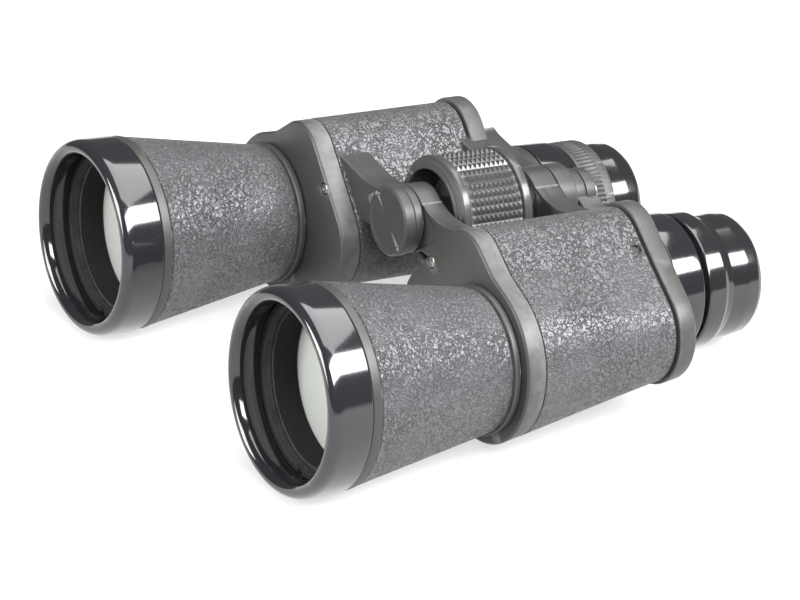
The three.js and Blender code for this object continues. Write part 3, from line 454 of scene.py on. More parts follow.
def enamel_grain_group():
    """Fine orange peel and dust of a sprayed finish: a height, a speck mask and a slow tone change."""
    group = node_group("enamel_grain", [("Grain", FLOAT, 2600.0), ("Dust", FLOAT, 0.5)],
                       [("Height", FLOAT), ("Specks", FLOAT), ("Tone", FLOAT)])
    ins = group.nodes.new("NodeGroupInput")
    outs = group.nodes.new("NodeGroupOutput")
    place_of = group.nodes.new("ShaderNodeTexCoord")
    fine = add_node(group, "ShaderNodeTexNoise", values={"Detail": 3.0, "Roughness": 0.6})
    group.links.new(place_of.outputs["Object"], fine.inputs["Vector"])
    group.links.new(ins.outputs["Grain"], fine.inputs["Scale"])
    specks = add_node(group, "ShaderNodeTexNoise", values={"Scale": 950.0, "Detail": 4.0, "Roughness": 0.7})
    group.links.new(place_of.outputs["Object"], specks.inputs["Vector"])
    mask = ramp(group, specks.outputs["Fac"], [(0.62, 0.0), (0.72, 1.0)])
    slow = add_node(group, "ShaderNodeTexNoise", values={"Scale": 34.0, "Detail": 3.0, "Roughness": 0.55})
    group.links.new(place_of.outputs["Object"], slow.inputs["Vector"])
    group.links.new(fine.outputs["Fac"], outs.inputs["Height"])
    group.links.new(scaled_math(group, "MULTIPLY", mask, ins.outputs["Dust"]), outs.inputs["Specks"])
    group.links.new(slow.outputs["Fac"], outs.inputs["Tone"])
    return group


def leather_grain_group():
    """Creased hide: lines where bent noise passes its middle, at two sizes, over fine pores."""
    group = node_group("leather_grain", [("Scale", FLOAT, 430.0), ("Bend", FLOAT, 0.0022)],
                       [("Height", FLOAT), ("Crease", FLOAT), ("Tone", FLOAT)])
    ins = group.nodes.new("NodeGroupInput")
    outs = group.nodes.new("NodeGroupOutput")
    place_of = group.nodes.new("ShaderNodeTexCoord")
    bend = add_node(group, "ShaderNodeTexNoise", values={"Scale": 210.0, "Detail": 3.0, "Roughness": 0.6})
    group.links.new(place_of.outputs["Object"], bend.inputs["Vector"])
    centred = add_node(group, "ShaderNodeVectorMath", operation="SUBTRACT")
    centred.inputs[1].default_value = (0.5, 0.5, 0.5)
    group.links.new(bend.outputs["Color"], centred.inputs[0])
    sized = add_node(group, "ShaderNodeVectorMath", operation="SCALE")
    group.links.new(centred.outputs[0], sized.inputs[0])
    group.links.new(ins.outputs["Bend"], sized.inputs["Scale"])
    moved = add_node(group, "ShaderNodeVectorMath", operation="ADD")
    group.links.new(place_of.outputs["Object"], moved.inputs[0])
    group.links.new(sized.outputs[0], moved.inputs[1])

    def lines(scale, width):
        noise = add_node(group, "ShaderNodeTexNoise", values={"Detail": 2.0, "Roughness": 0.5})
        group.links.new(moved.outputs[0], noise.inputs["Vector"])
        group.links.new(scaled_math(group, "MULTIPLY", ins.outputs["Scale"], scale), noise.inputs["Scale"])
        away = scaled_math(group, "ABSOLUTE", scaled_math(group, "SUBTRACT", noise.outputs["Fac"], 0.5), 0.0)
        return ramp(group, away, [(0.0, 0.0), (width, 1.0)])

    patch = add_node(group, "ShaderNodeTexNoise", values={"Scale": 60.0, "Detail": 3.0, "Roughness": 0.6})
    group.links.new(place_of.outputs["Object"], patch.inputs["Vector"])
    show = ramp(group, patch.outputs["Fac"], [(0.35, 0.45), (0.62, 1.0)])
    pores = add_node(group, "ShaderNodeTexNoise", values={"Scale": 2600.0, "Detail": 2.0, "Roughness": 0.5})
    group.links.new(place_of.outputs["Object"], pores.inputs["Vector"])
    plateau = scaled_math(group, "MULTIPLY", lines(1.0, 0.045), lines(1.8, 0.04))
    crease = scaled_math(group, "MULTIPLY", scaled_math(group, "SUBTRACT", 1.0, plateau), show)
    fine = scaled_math(group, "MULTIPLY", pores.outputs["Fac"], 0.25)
    height = scaled_math(group, "SUBTRACT", fine, crease)
    group.links.new(height, outs.inputs["Height"])
    group.links.new(crease, outs.inputs["Crease"])
    group.links.new(patch.outputs["Fac"], outs.inputs["Tone"])
    return group


def edge_wear_and_highlight_group():
    """Paint thinned by rubbing on outward edges, with a painted highlight along them: pointiness broken up by
    noise, as a mask.
    """
    limits = [("Amount", FLOAT, 1.0), ("Low", FLOAT, 0.52), ("High", FLOAT, 0.6)]
    group = node_group("edge_wear_and_highlight", limits, [("Wear and highlight", FLOAT)])
    ins = group.nodes.new("NodeGroupInput")
    outs = group.nodes.new("NodeGroupOutput")
    shape = group.nodes.new("ShaderNodeNewGeometry")
    place_of = group.nodes.new("ShaderNodeTexCoord")
    patch = add_node(group, "ShaderNodeTexNoise", values={"Scale": 240.0, "Detail": 4.0, "Roughness": 0.65})
    group.links.new(place_of.outputs["Object"], patch.inputs["Vector"])
    limit = add_node(group, "ShaderNodeMapRange")
    group.links.new(shape.outputs["Pointiness"], limit.inputs["Value"])
    group.links.new(ins.outputs["Low"], limit.inputs["From Min"])
    group.links.new(ins.outputs["High"], limit.inputs["From Max"])
    broken = ramp(group, patch.outputs["Fac"], [(0.35, 0.35), (0.65, 1.0)])
    masked = scaled_math(group, "MULTIPLY", limit.outputs["Result"], broken)
    group.links.new(scaled_math(group, "MULTIPLY", masked, ins.outputs["Amount"]), outs.inputs["Wear and highlight"])
    return group


GROUPS = {
    "enamel_grain": enamel_grain_group,
    "leather_grain": leather_grain_group,
    "edge_wear_and_highlight": edge_wear_and_highlight_group,
}


def use_group(tree, name, **values):
    """Places a shared group in a material, building it the first time."""
    group = bpy.data.node_groups.get(name) or GROUPS[name]()
    node = tree.nodes.new("ShaderNodeGroup")
    node.node_tree = group
    for label, value in values.items():
        node.inputs[label].default_value = value
    return node


def mix_colour(tree, mask, a, b):
    """A colour that goes from a to b with a mask; a and b are colours or sockets."""
    node = tree.nodes.new("ShaderNodeMix")
    node.data_type = "RGBA"
    tree.links.new(mask, node.inputs["Factor"])
    for socket, value in ((node.inputs[6], a), (node.inputs[7], b)):
        if isinstance(value, tuple):
            socket.default_value = value
        else:
            tree.links.new(value, socket)
    return node.outputs[2]


def blank_material(name, **sockets):
    """A material with a Principled shader and plain values on its sockets."""
    made = bpy.data.materials.new(name)
    made.use_nodes = True
    shader = made.node_tree.nodes["Principled BSDF"]
    for label, value in sockets.items():
        shader.inputs[label.replace("_", " ")].default_value = value
    return made, made.node_tree, shader


def bump_into(tree, shader, height, strength, distance):
    """A bump from a height socket into the shader's normal."""
    node = add_node(tree, "ShaderNodeBump", values={"Strength": strength, "Distance": distance})
    tree.links.new(height, node.inputs["Height"])
    tree.links.new(node.outputs["Normal"], shader.inputs["Normal"])


def roughness_from(tree, shader, source, low, high):
    """A roughness that goes from low to high with a mask."""
    spread = add_node(tree, "ShaderNodeMapRange", values={"To Min": low, "To Max": high})
    tree.links.new(source, spread.inputs["Value"])
    tree.links.new(spread.outputs["Result"], shader.inputs["Roughness"])


def rgba(colour, gain=1.0):
    """A colour with its opacity, made brighter or darker by a gain."""
    return (colour[0] * gain, colour[1] * gain, colour[2] * gain, 1.0)


def sprayed(name, colour, roughness, grain, strength, wear, **sockets):
    """A sprayed or moulded black: orange peel, specks of dust, slow tone changes, and edges thinned by rubbing
    that also carry a painted highlight.
    """
    made, tree, shader = blank_material(name, **sockets)
    peel = use_group(tree, "enamel_grain", Grain=grain, Dust=0.35)
    rubbed_and_highlit = use_group(tree, "edge_wear_and_highlight", Amount=wear)
    tone = mix_colour(tree, peel.outputs["Tone"], rgba(colour, 0.9), rgba(colour, 1.1))
    dusty = mix_colour(tree, peel.outputs["Specks"], tone, rgba(colour, 2.4))
    # painted highlight: the pointed edges turn pale grey (0.42), partly paint thinned by rubbing and partly a
    # bright line along the chamfers
    worn_and_highlit = mix_colour(tree, rubbed_and_highlit.outputs["Wear and highlight"], dusty, (0.42, 0.42, 0.40, 1.0))
    tree.links.new(worn_and_highlit, shader.inputs["Base Color"])
    roughness_from(tree, shader, peel.outputs["Tone"], roughness * 0.93, roughness * 1.07)
    bump_into(tree, shader, peel.outputs["Height"], strength, 0.00006)
    return made


def satin_enamel():
    colour = bpy.context.scene.binocular_colours.enamel
    return sprayed("satin_enamel", colour, 0.42, 2600.0, 0.5, 0.5)


def gloss_enamel():
    colour = bpy.context.scene.binocular_colours.gloss
    return sprayed("gloss_enamel", colour, 0.12, 1200.0, 0.12, 0.12, Coat_Weight=0.6, Coat_Roughness=0.05)


def matt_paint():
    return sprayed("matt_paint", (0.012, 0.012, 0.012), 0.7, 3200.0, 0.6, 0.1, Specular_IOR_Level=0.3)


def wheel_plastic():
    colour = bpy.context.scene.binocular_colours.wheel
    return sprayed("wheel_plastic", colour, 0.28, 2200.0, 0.25, 0.35, Coat_Weight=0.25)


def eyecup_plastic():
    colour = bpy.context.scene.binocular_colours.eyecup
    return sprayed("eyecup_plastic", colour, 0.14, 900.0, 0.08, 0.0, Coat_Weight=0.7, Coat_Roughness=0.06)


def screw_steel():
    """Turned steel: a slow change of tone and roughness, a fine grain as bump and a few dark specks."""
    made, tree, shader = blank_material("screw_steel", Metallic=1.0)
    peel = use_group(tree, "enamel_grain", Grain=4200.0, Dust=0.6)
    tone = mix_colour(tree, peel.outputs["Tone"], (0.34, 0.34, 0.33, 1), (0.62, 0.61, 0.58, 1))
    dark = mix_colour(tree, peel.outputs["Specks"], tone, (0.10, 0.10, 0.09, 1))
    tree.links.new(dark, shader.inputs["Base Color"])
    roughness_from(tree, shader, peel.outputs["Tone"], 0.22, 0.42)
    bump_into(tree, shader, peel.outputs["Height"], 0.4, 0.00003)
    return made


def leatherette():
    """Black leatherette: creases rougher than the polished plateaus between them, and darkened by painted
    shade.
    """
    colour = bpy.context.scene.binocular_colours.leather
    made, tree, shader = blank_material("leatherette", Specular_IOR_Level=0.8)
    hide = use_group(tree, "leather_grain")
    dust = use_group(tree, "enamel_grain", Grain=3000.0, Dust=0.3)
    tone = mix_colour(tree, hide.outputs["Tone"], rgba(colour, 0.85), rgba(colour, 1.15))
    specks = mix_colour(tree, dust.outputs["Specks"], tone, rgba(colour, 2.0))
    # painted shade: the creases' colour falls to 0.3 of the leatherette's, where the folds would be in shade
    dark = mix_colour(tree, hide.outputs["Crease"], specks, rgba(colour, 0.3))
    tree.links.new(dark, shader.inputs["Base Color"])
    roughness_from(tree, shader, hide.outputs["Crease"], 0.34, 0.65)
    bump_into(tree, shader, hide.outputs["Height"], 1.0, 0.00045)
    return made


def coated_glass():
    """Lens glass that shows its pale coating: a milky grey-green under a clear coat, with faint dust."""
    colour = bpy.context.scene.binocular_colours.glass
    made, tree, shader = blank_material(
        "coated_glass", Transmission_Weight=0.12, IOR=1.6, Metallic=0.0, Coat_Weight=0.5, Coat_Roughness=0.02,
        Roughness=0.05,
    )
    dust = use_group(tree, "enamel_grain", Grain=1500.0, Dust=0.12)
    tone = mix_colour(tree, dust.outputs["Tone"], rgba(colour, 0.97), rgba(colour, 1.03))
    dusty = mix_colour(tree, dust.outputs["Specks"], tone, (0.9, 0.9, 0.88, 1))
    tree.links.new(dusty, shader.inputs["Base Color"])
    return made


FINISHES = {
    "satin": satin_enamel,
    "gloss": gloss_enamel,
    "matt": matt_paint,
    "leather": leatherette,
    "wheel": wheel_plastic,
    "eyecup": eyecup_plastic,
    "steel": screw_steel,
    "glass": coated_glass,
}
MADE = {}


def material(finish):
    """The material of a finish, made the first time it is asked for."""
    if finish not in MADE:
        MADE[finish] = FINISHES[finish]()
    return MADE[finish]


# ---------- the objective ends ----------

def objective_bezel(side, x):
    node = side + "_objective_bezel"
    front, rear = span(node)
    inner, outer = reach(node, x, 0)
    mouth = inner
    bore = mouth + 1.6
    middle = (outer + mouth) / 2
    half = (outer - mouth) / 2
    turn = np.linspace(math.pi, 2 * math.pi, 28)
    lip = np.stack([middle + half * np.cos(turn), front + 4 + 4 * np.sin(turn)], axis=1)
    back = rounded([
        (outer, front + 5), (outer, rear, 0.5), (bore, rear), (bore, front + 6.2, 0.5), (mouth, front + 5.6),
    ])
    profile = np.vstack([lip, back])
    place_turned(side + "_bezel", profile, x, 0, 224, "gloss", side + "_barrel", node)


def lock_ring(side, x):
    node = side + "_lock_ring"
    front, rear = span(node)
    _, outer = reach(node, x, 0)
    inner = outer - 2.4
    profile = rounded([
        (inner, front, 0.25), (inner + 1.1, front, 0.1), (inner + 1.15, front + 0.35, 0.1),
        (inner + 1.35, front + 0.35, 0.1), (inner + 1.4, front, 0.1), (outer, front, 0.3), (outer, rear),
        (inner, rear),
    ], 3)

    def notches(radius, station, angle):
        """Two spanner notches: where the ring is near the upright through its axis, its face sinks."""
        sunk = np.abs(radius * np.cos(angle)) < NOTCH_HALF_WIDTH
        return radius, np.where(sunk & (station < front + NOTCH_DEPTH), front + NOTCH_DEPTH, station)

    place_turned(side + "_retaining_ring", profile, x, 0, 320, "matt", side + "_barrel", node, relief=notches)


def cell_ring(side, x):
    node = side + "_lens_cell_ring"
    front, rear = span(node)
    _, outer = reach(node, x, 0)
    inner = outer - 1.1
    turns = 11
    station = np.linspace(rear - 0.2, front + 0.2, turns * 2 + 1)
    thread = np.stack([inner + 0.35 * (np.arange(turns * 2 + 1) % 2), station], axis=1)
    profile = np.vstack([[[outer, front], [outer, rear], [inner, rear]], thread, [[inner, front]]])
    place_turned(side + "_baffle_ring", profile, x, 0, 128, "matt", side + "_barrel", node)


def dome(name, radius, front, rear, bulge, hollow, x, height, steps=128):
    """A lens: each face stands out from its edge by bulge or hollow times (1 - r^2 / R^2)."""
    share = np.linspace(0, 1, 18)
    face = np.stack([radius * share, front - bulge * (1 - share ** 2)], axis=1)
    back = np.stack([radius * share[::-1], rear + hollow * (1 - share[::-1] ** 2)], axis=1)
    return turned(name, np.vstack([face, back]), x, height, steps)


def objective_lens(side, x):
    node = side + "_objective_lens"
    front, rear = span(node)
    _, outer = reach(node, x, 0)
    mesh = dome(side + "_front_lens", outer, front + 2.4, rear - 0.8, 2.4, 0.8, x, 0)
    place(side + "_front_lens", mesh, "glass", side + "_barrel", node)


def tube_and_skin(side, x):
    tube_node = side + "_objective_tube"
    front = span(tube_node)[0]
    _, outer = reach(tube_node, x, 0)
    skin_node = side + "_tube_leatherette"
    skin_front, skin_rear = span(skin_node)
    collar_node = side + "_tube_collar"
    collar_front, collar_rear = span(collar_node)
    _, collar_outer = reach(collar_node, x, 0)
    big, small = outer - 0.3, collar_outer - 0.7
    inner_end = BODY_FRONT + 5.2
    profile = rounded([
        (outer - 5.2, front), (outer, front, 0.25), (outer, skin_front - 0.3, 0.35),
        (big - 1.5, skin_front - 0.2), (small - 1.5, skin_rear), (small - 1.5, collar_rear),
        (small - 1.8, collar_rear), (small - 1.8, inner_end), (small - 4.2, inner_end),
        (small - 4.2, collar_rear), (outer - 6.7, front + 13), (outer - 5.2, front + 13),
    ])
    place_turned(side + "_tube", profile, x, 0, 192, "satin", side + "_barrel", tube_node)

    sizes = bpy.context.scene.binocular_sizes
    rows = 150
    turn = np.linspace(0, math.pi / 2, 5)
    share = np.linspace(0, 1, rows)
    edge = 0.55
    station = skin_front + edge + (skin_rear - skin_front - 2 * edge) * share
    radius = big + (small - big) * (station - skin_front) / (skin_rear - skin_front)
    lead = np.stack([big - edge * (1 - np.sin(turn)), skin_front + edge * (1 - np.cos(turn))], axis=1)
    tail = np.stack([small - edge * (1 - np.cos(turn)), skin_rear - edge * (1 - np.sin(turn))], axis=1)
    outside = np.vstack([lead[:-1], np.stack([radius, station], axis=1), tail[1:]])
    inside = np.array([[small - 1.2, skin_rear], [big - 1.2, skin_front]])
    profile = np.vstack([outside, inside])
    depth = np.concatenate([np.linspace(0, 1, 4), np.ones(rows), np.linspace(1, 0, 4), [0, 0]])[:, None]

    def creases(radii, stations, angle):
        """The radius falls along the ridges of two wave fields, most where they pass through zero."""
        places = np.stack([x + radii * np.cos(angle), stations, radii * np.sin(angle)], axis=-1)
        fold = np.abs(wrinkle(places, 3, 3.4)) + 0.6 * np.abs(wrinkle(places, 8, 1.9))
        drop = np.clip(0.3 - fold, 0, 0.3) / 0.3
        return radii - sizes.crease_depth * depth * drop, stations

    barrel = side + "_barrel"
    place_turned(side + "_tube_covering", profile, x, 0, 560, "leather", barrel, skin_node, relief=creases)
    profile = ring_profile(small - 1.0, collar_outer, collar_front, collar_rear, 0.5)
    place_turned(side + "_collar", profile, x, 0, TURN_STEPS, "satin", barrel, collar_node)


# ---------- the prism body ----------

def front_cover(side, sign):
    node = side + "_front_cover"
    stations = BODY_FRONT + np.array([0, 0.03, 0.12, 0.55, 0.68, 0.8])
    stations = np.concatenate([stations, [COVER_REAR - 0.2, COVER_REAR]])
    grows = np.array([-0.85, -0.75, -0.62, -0.13, -0.03, 0, 0, -0.2])
    mesh = skin_between(side + "_cover", body_rings(stations, grows, sign))
    cover = place(side + "_cover", mesh, "satin", side + "_barrel", node)
    screw_node = side + "_cover_screw"
    place_x = axis_x(screw_node)
    heights = points_of(screw_node)[:, 2]
    height = float(heights.min() + heights.max()) / 2
    front, _ = span(screw_node)
    seat = rounded([
        (0, BODY_FRONT - 1), (2.5, BODY_FRONT - 1), (2.0, BODY_FRONT + 0.4), (2.0, front + 1.6),
        (0, front + 1.6),
    ])
    cut(cover, turned("seat", seat, place_x, height, 48))
    head = rounded([(0, front), (1.7, front, 0.3), (1.7, front + 1.2), (0, front + 1.2)], 4)
    name = side + "_cover_fixing"
    screw = place_turned(name, head, place_x, height, 48, "steel", side + "_barrel", screw_node)
    for turned_by in (0.35, 0.35 + math.pi / 2):
        along = np.array([math.cos(turned_by), math.sin(turned_by)])
        beside = np.array([-along[1], along[0]])
        corners = np.array([along * 1.15 + beside * 0.33, -along * 1.15 + beside * 0.33,
                            -along * 1.15 - beside * 0.33, along * 1.15 - beside * 0.33])
        cut(screw, slab("recess", corners + np.array([place_x, height]), front - 0.5, front + 0.55, 0.01))


def body_covering(side, sign):
    node = side + "_body_leatherette"
    front, rear = span(node)
    edge = 0.45
    rows = 110
    turn = np.linspace(0, math.pi / 2, 5)
    lead = front + edge * (1 - np.cos(turn))
    tail = rear - edge * (1 - np.sin(turn))
    middle = np.linspace(front + edge, rear - edge, rows)
    stations = np.concatenate([lead[:-1], middle, tail[1:], [rear, front]])
    grows = np.concatenate([
        LEATHER_PROUD - edge * (1 - np.sin(turn[:-1])), np.full(rows, LEATHER_PROUD),
        LEATHER_PROUD - edge * (1 - np.cos(turn[1:])), [-LEATHER_THICKNESS, -LEATHER_THICKNESS],
    ])
    rings = body_rings(stations, grows, sign)
    depth = np.concatenate([np.linspace(0, 1, 4), np.ones(rows), np.linspace(1, 0, 4), [0, 0]])[:, None]
    sizes = bpy.context.scene.binocular_sizes
    fold = np.abs(wrinkle(rings, 5, 3.6)) + 0.6 * np.abs(wrinkle(rings, 12, 2.1))
    drop = np.clip(0.24 - fold, 0, 0.24) / 0.24 * depth * sizes.crease_depth
    outward = np.array([normals_of(section(s, 0)) for s in stations])
    rings[..., 0] -= outward[..., 0] * sign * drop
    rings[..., 2] -= outward[..., 1] * drop
    quads = grid_quads(len(rings), rings.shape[1], close_rows=True)
    mesh = mesh_from(side + "_covering", rings.reshape(-1, 3), quads)
    piece = place(side + "_covering", mesh, "leather", side + "_barrel", node)
    set_screw(side, sign, piece)


def set_screw(side, sign, covering):
    """The hole through the covering for the screw that tilts a prism, and the screw down inside it."""
    node = side + "_prism_set_screw"
    middle = points_of(node).mean(axis=0)
    outline = section(middle[1], 0) * np.array([sign, 1])
    nearest = int(np.argmin(np.hypot(outline[:, 0] - middle[0], outline[:, 1] - middle[2])))
    outward = normals_of(section(middle[1], 0))[nearest] * np.array([sign, 1])
    aim = np.array([outward[0], 0, outward[1]])
    surface = np.array([outline[nearest, 0], middle[1], outline[nearest, 1]])
    side_way = np.array([0.0, 1.0, 0.0])
    third = np.cross(aim, side_way)

    def across(profile, steps=40):
        """A profile of (radius, height) turned round the hole's own direction."""
        profile = np.asarray(profile, dtype=float)
        angle = np.linspace(0, 2 * math.pi, steps, endpoint=False)[None, :, None]
        ring = side_way * np.cos(angle) + third * np.sin(angle)
        points = surface + profile[:, None, :1] * ring + profile[:, None, 1:2] * aim
        return mesh_from("round", points.reshape(-1, 3), grid_quads(len(profile), steps, close_rows=True))

    cut(covering, across([[0, 2], [1.7, 2], [1.5, -4], [0, -4]]))
    head = rounded([(0, -1.5), (1.25, -1.5, 0.2), (1.25, -3.6), (0, -3.6)], 3)
    screw = place(side + "_prism_screw", across(head), "steel", side + "_barrel", node)
    half = 0.2
    slot = np.array([[-2, -2.0], [2, -2.0], [2, 0], [-2, 0]])
    low = surface + slot[:, :1] * side_way + slot[:, 1:] * aim - third * half
    high = low + third * 2 * half
    faces = np.array([[0, 1, 2, 3], [7, 6, 5, 4], [0, 4, 5, 1], [1, 5, 6, 2], [2, 6, 7, 3], [3, 7, 4, 0]])
    cut(screw, mesh_from("slot", np.vstack([low, high]), faces))


def rear_cover(side, sign):
    node = side + "_rear_cover"
    edge = 0.7
    turn = np.linspace(0, math.pi / 2, 4)
    stations = np.concatenate([LID_FRONT + edge * (1 - np.cos(turn)), LID_REAR - edge + edge * np.sin(turn)])
    grows = LID_OVERHANG - edge * (1 - np.concatenate([np.sin(turn), np.cos(turn)]))
    mesh = skin_between(side + "_lid", body_rings(stations, grows, sign))
    place(side + "_lid", mesh, "satin", side + "_barrel", node)


def housing_core(side, sign):
    """The casting under the covering: it shows only as the dark line between the covering and the covers."""
    front = COVER_REAR - 1.0
    rear = LID_FRONT + 1.0
    mesh = skin_between(side + "_housing", body_rings([front, rear], [-1.0, -1.0], sign))
    place(side + "_housing", mesh, "matt", side + "_barrel", side + "_prism_housing", slot="satin_black")


# ---------- the hinge ----------

def spline(points, count):
    """A smooth curve through points: each stretch is a Catmull-Rom cubic of its four neighbours."""
    points = np.asarray(points, dtype=float)
    padded = np.vstack([2 * points[0] - points[1], points, 2 * points[-1] - points[-2]])
    place_on = np.linspace(0, len(points) - 1, count)
    start = np.minimum(place_on.astype(int), len(points) - 2)
    t = (place_on - start)[:, None]
    a, b, c, d = (padded[start + k] for k in range(4))
    square = (2 * a - 5 * b + 4 * c - d) * t ** 2
    cube = (3 * b - a - 3 * c + d) * t ** 3
    return 0.5 * (2 * b + (c - a) * t + square + cube)


def arm_outline(sign, hinge_room=0.0, eyepiece_room=0.0):
    """An arm seen from the front: a saddle from the body down to the knuckle, over a flatter underside.

    An arc clears the hinge's room, and the underside goes round the eyepiece's room.
    """
    r, h = KNUCKLE_RADIUS, HINGE_HEIGHT
    rise = h + ARM_RISE
    saddle = [(ARM_REACH, rise + 3.2), (r * 2.6, rise + 0.9), (r * 1.9, rise - 0.2), (r * 1.25, rise + 0.3)]
    top = spline(saddle + [(r * 0.72, h + r * 0.72)], 40)
    low = [(r * 0.5, h - r * 0.85), (r * 1.1, h - ARM_DROP)]
    if eyepiece_room > 0:
        turn = np.radians([140.0, 120.0, 100.0, 80.0])
        round_it = np.stack([EYEPIECE_X + eyepiece_room * np.cos(turn), eyepiece_room * np.sin(turn)], axis=1)
        under = spline(np.vstack([low, round_it]), 40)
    else:
        under = spline(low + [(ARM_REACH, h - ARM_DROP - 3)], 24)
    if hinge_room > 0:
        top = top[np.hypot(top[:, 0], top[:, 1] - h) > hinge_room + 0.2]
        under = under[np.hypot(under[:, 0], under[:, 1] - h) > hinge_room + 0.2]
        first = math.atan2(top[-1, 1] - h, top[-1, 0])
        last = math.atan2(under[0, 1] - h, under[0, 0])
        turn = np.linspace(first, last, 20)
        arc = np.stack([hinge_room * np.cos(turn), h + hinge_room * np.sin(turn)], axis=1)
        outline = np.vstack([top, arc, under])
    else:
        outline = np.vstack([top, under])
    return outline if sign > 0 else (outline * np.array([-1, 1]))[::-1]


def knuckle(name, front, rear, side, edge=0.5):
    """A round eye of a hinge arm, with the axle's bore."""
    profile = ring_profile(AXLE_BORE, KNUCKLE_RADIUS, front, rear, edge)
    place_turned(name, profile, 0, HINGE_HEIGHT, 128, "satin", side + "_barrel", side + "_prism_housing")


def hinge_arms(side, sign):
    """Front and rear arms, each a saddle-shaped web on the body with its knuckles on the hinge axis."""
    sizes = bpy.context.scene.binocular_sizes
    cap_rear = span("hinge_cap")[1]
    thin_front = cap_rear + HINGE_GAP
    thin_rear = thin_front + LUG_WIDTH
    arm_front = thin_rear + HINGE_GAP
    arm_rear = arm_front + FRONT_ARM_WIDTH
    rear_front = LID_FRONT - REAR_ARM_AHEAD
    rear_rear = rear_front + REAR_ARM_WIDTH
    outer_front = rear_rear + HINGE_GAP
    outer_rear = outer_front + OUTER_LUG_WIDTH
    housing = side + "_prism_housing"
    hinge_room = KNUCKLE_RADIUS + 0.35
    eyepiece_room = reach("left_eyepiece_sleeve", EYEPIECE_X, 0)[1] + 1.5
    step = LID_FRONT - 0.6

    def web(name, front, rear, edge, rear_edge, *rooms):
        mesh = slab(name, arm_outline(sign, *rooms), front, rear, edge, rear_edge)
        place(name, mesh, "satin", side + "_barrel", housing)

    if side == "left":
        web(side + "_front_arm", arm_front, arm_rear, sizes.edge, sizes.edge)
        knuckle(side + "_front_knuckle", arm_front, arm_rear, side)
        web(side + "_rear_arm", rear_front, step, sizes.edge, FLUSH)
        web(side + "_rear_arm_end", step, rear_rear, FLUSH, sizes.edge, 0.0, eyepiece_room)
        knuckle(side + "_rear_knuckle", rear_front, rear_rear, side)
    else:
        web(side + "_front_arm_lug", thin_front, thin_rear, 0.4, FLUSH)
        web(side + "_front_arm", thin_rear, arm_rear, FLUSH, sizes.edge, hinge_room)
        knuckle(side + "_front_knuckle", thin_front, thin_rear, side, 0.4)
        web(side + "_rear_arm", rear_front, step, sizes.edge, FLUSH, hinge_room)
        web(side + "_rear_arm_middle", step, outer_front, FLUSH, FLUSH, hinge_room, eyepiece_room)
        web(side + "_rear_arm_end", outer_front, outer_rear, FLUSH, sizes.edge, 0.0, eyepiece_room)
        knuckle(side + "_rear_knuckle", outer_front, outer_rear, side)


def hinge_cap():
    front, rear = span("hinge_cap")
    _, outer = reach("hinge_cap", 0, HINGE_HEIGHT)
    face = front + 0.12
    profile = rounded([
        (0, face), (2.5, face), (5, face), (outer - 2.2, face, 0.2), (outer - 1.7, front, 0.2),
        (outer - 0.55, front, 0.25), (outer, front + 0.55, 0.25), (outer, rear, 0.3), (0, rear),
    ], 5)
    place_turned("pivot_cap", profile, 0, HINGE_HEIGHT, 160, "satin", "left_barrel", "hinge_cap")


def axle_and_rod():
    front, rear = span("hinge_axle")
    _, outer = reach("hinge_axle", 0, HINGE_HEIGHT)
    profile = rounded([
        (0, front), (outer, front, 0.3), (outer, rear, 0.3), (outer - 1.5, rear), (outer - 1.5, rear - 20),
        (0, rear - 20),
    ])
    place_turned("pivot_axle", profile, 0, HINGE_HEIGHT, 96, "steel", "left_barrel", "hinge_axle")
    front, rear = span("focus_rod")
    _, outer = reach("focus_rod", 0, HINGE_HEIGHT)
    profile = rounded([(0, front), (outer, front, 0.4), (outer, rear), (0, rear)])
    place_turned("focus_shaft", profile, 0, HINGE_HEIGHT, 64, "steel", "left_carriage", "focus_rod")


# ---------- the focus wheel ----------

def focus_wheel():
    """The wheel's core with its stepped bevels, hollow front and plain rings; the grip is its own piece."""
    sizes = bpy.context.scene.binocular_sizes
    front, rear = span("focus_wheel")
    _, outer = reach("focus_wheel", 0, HINGE_HEIGHT)
    grip_front = front + 4.4
    grip_rear = rear - 3.0
    floor = outer - 1.7
    profile = rounded([
        (14.5, front, 0.25), (15.5, front, 0.2), (15.9, front + 0.45, 0.12), (16.7, front + 0.55, 0.12),
        (17.2, front + 1.2, 0.15), (outer - 0.35, front + 1.5, 0.2), (outer, front + 2.0, 0.25),
        (outer, grip_front - 0.35, 0.2), (floor, grip_front), (floor, grip_rear),
        (outer, grip_rear + 0.3, 0.2),
        (outer, rear, 0.5), (outer - 1.5, rear, 0.2), (outer - 2.2, rear - 0.5, 0.2), (5.5, rear - 0.5),
        (5.5, front + 10.8),
        (13.2, front + 10.8, 0.6), (14.2, front + 4.0, 0.3),
    ], 4)
    place_turned("wheel_core", profile, 0, HINGE_HEIGHT, 192, "wheel", "focus_wheel", "focus_wheel")
    knurled_grip(grip_front + 0.15, grip_rear - 0.15, outer - 0.1, sizes)


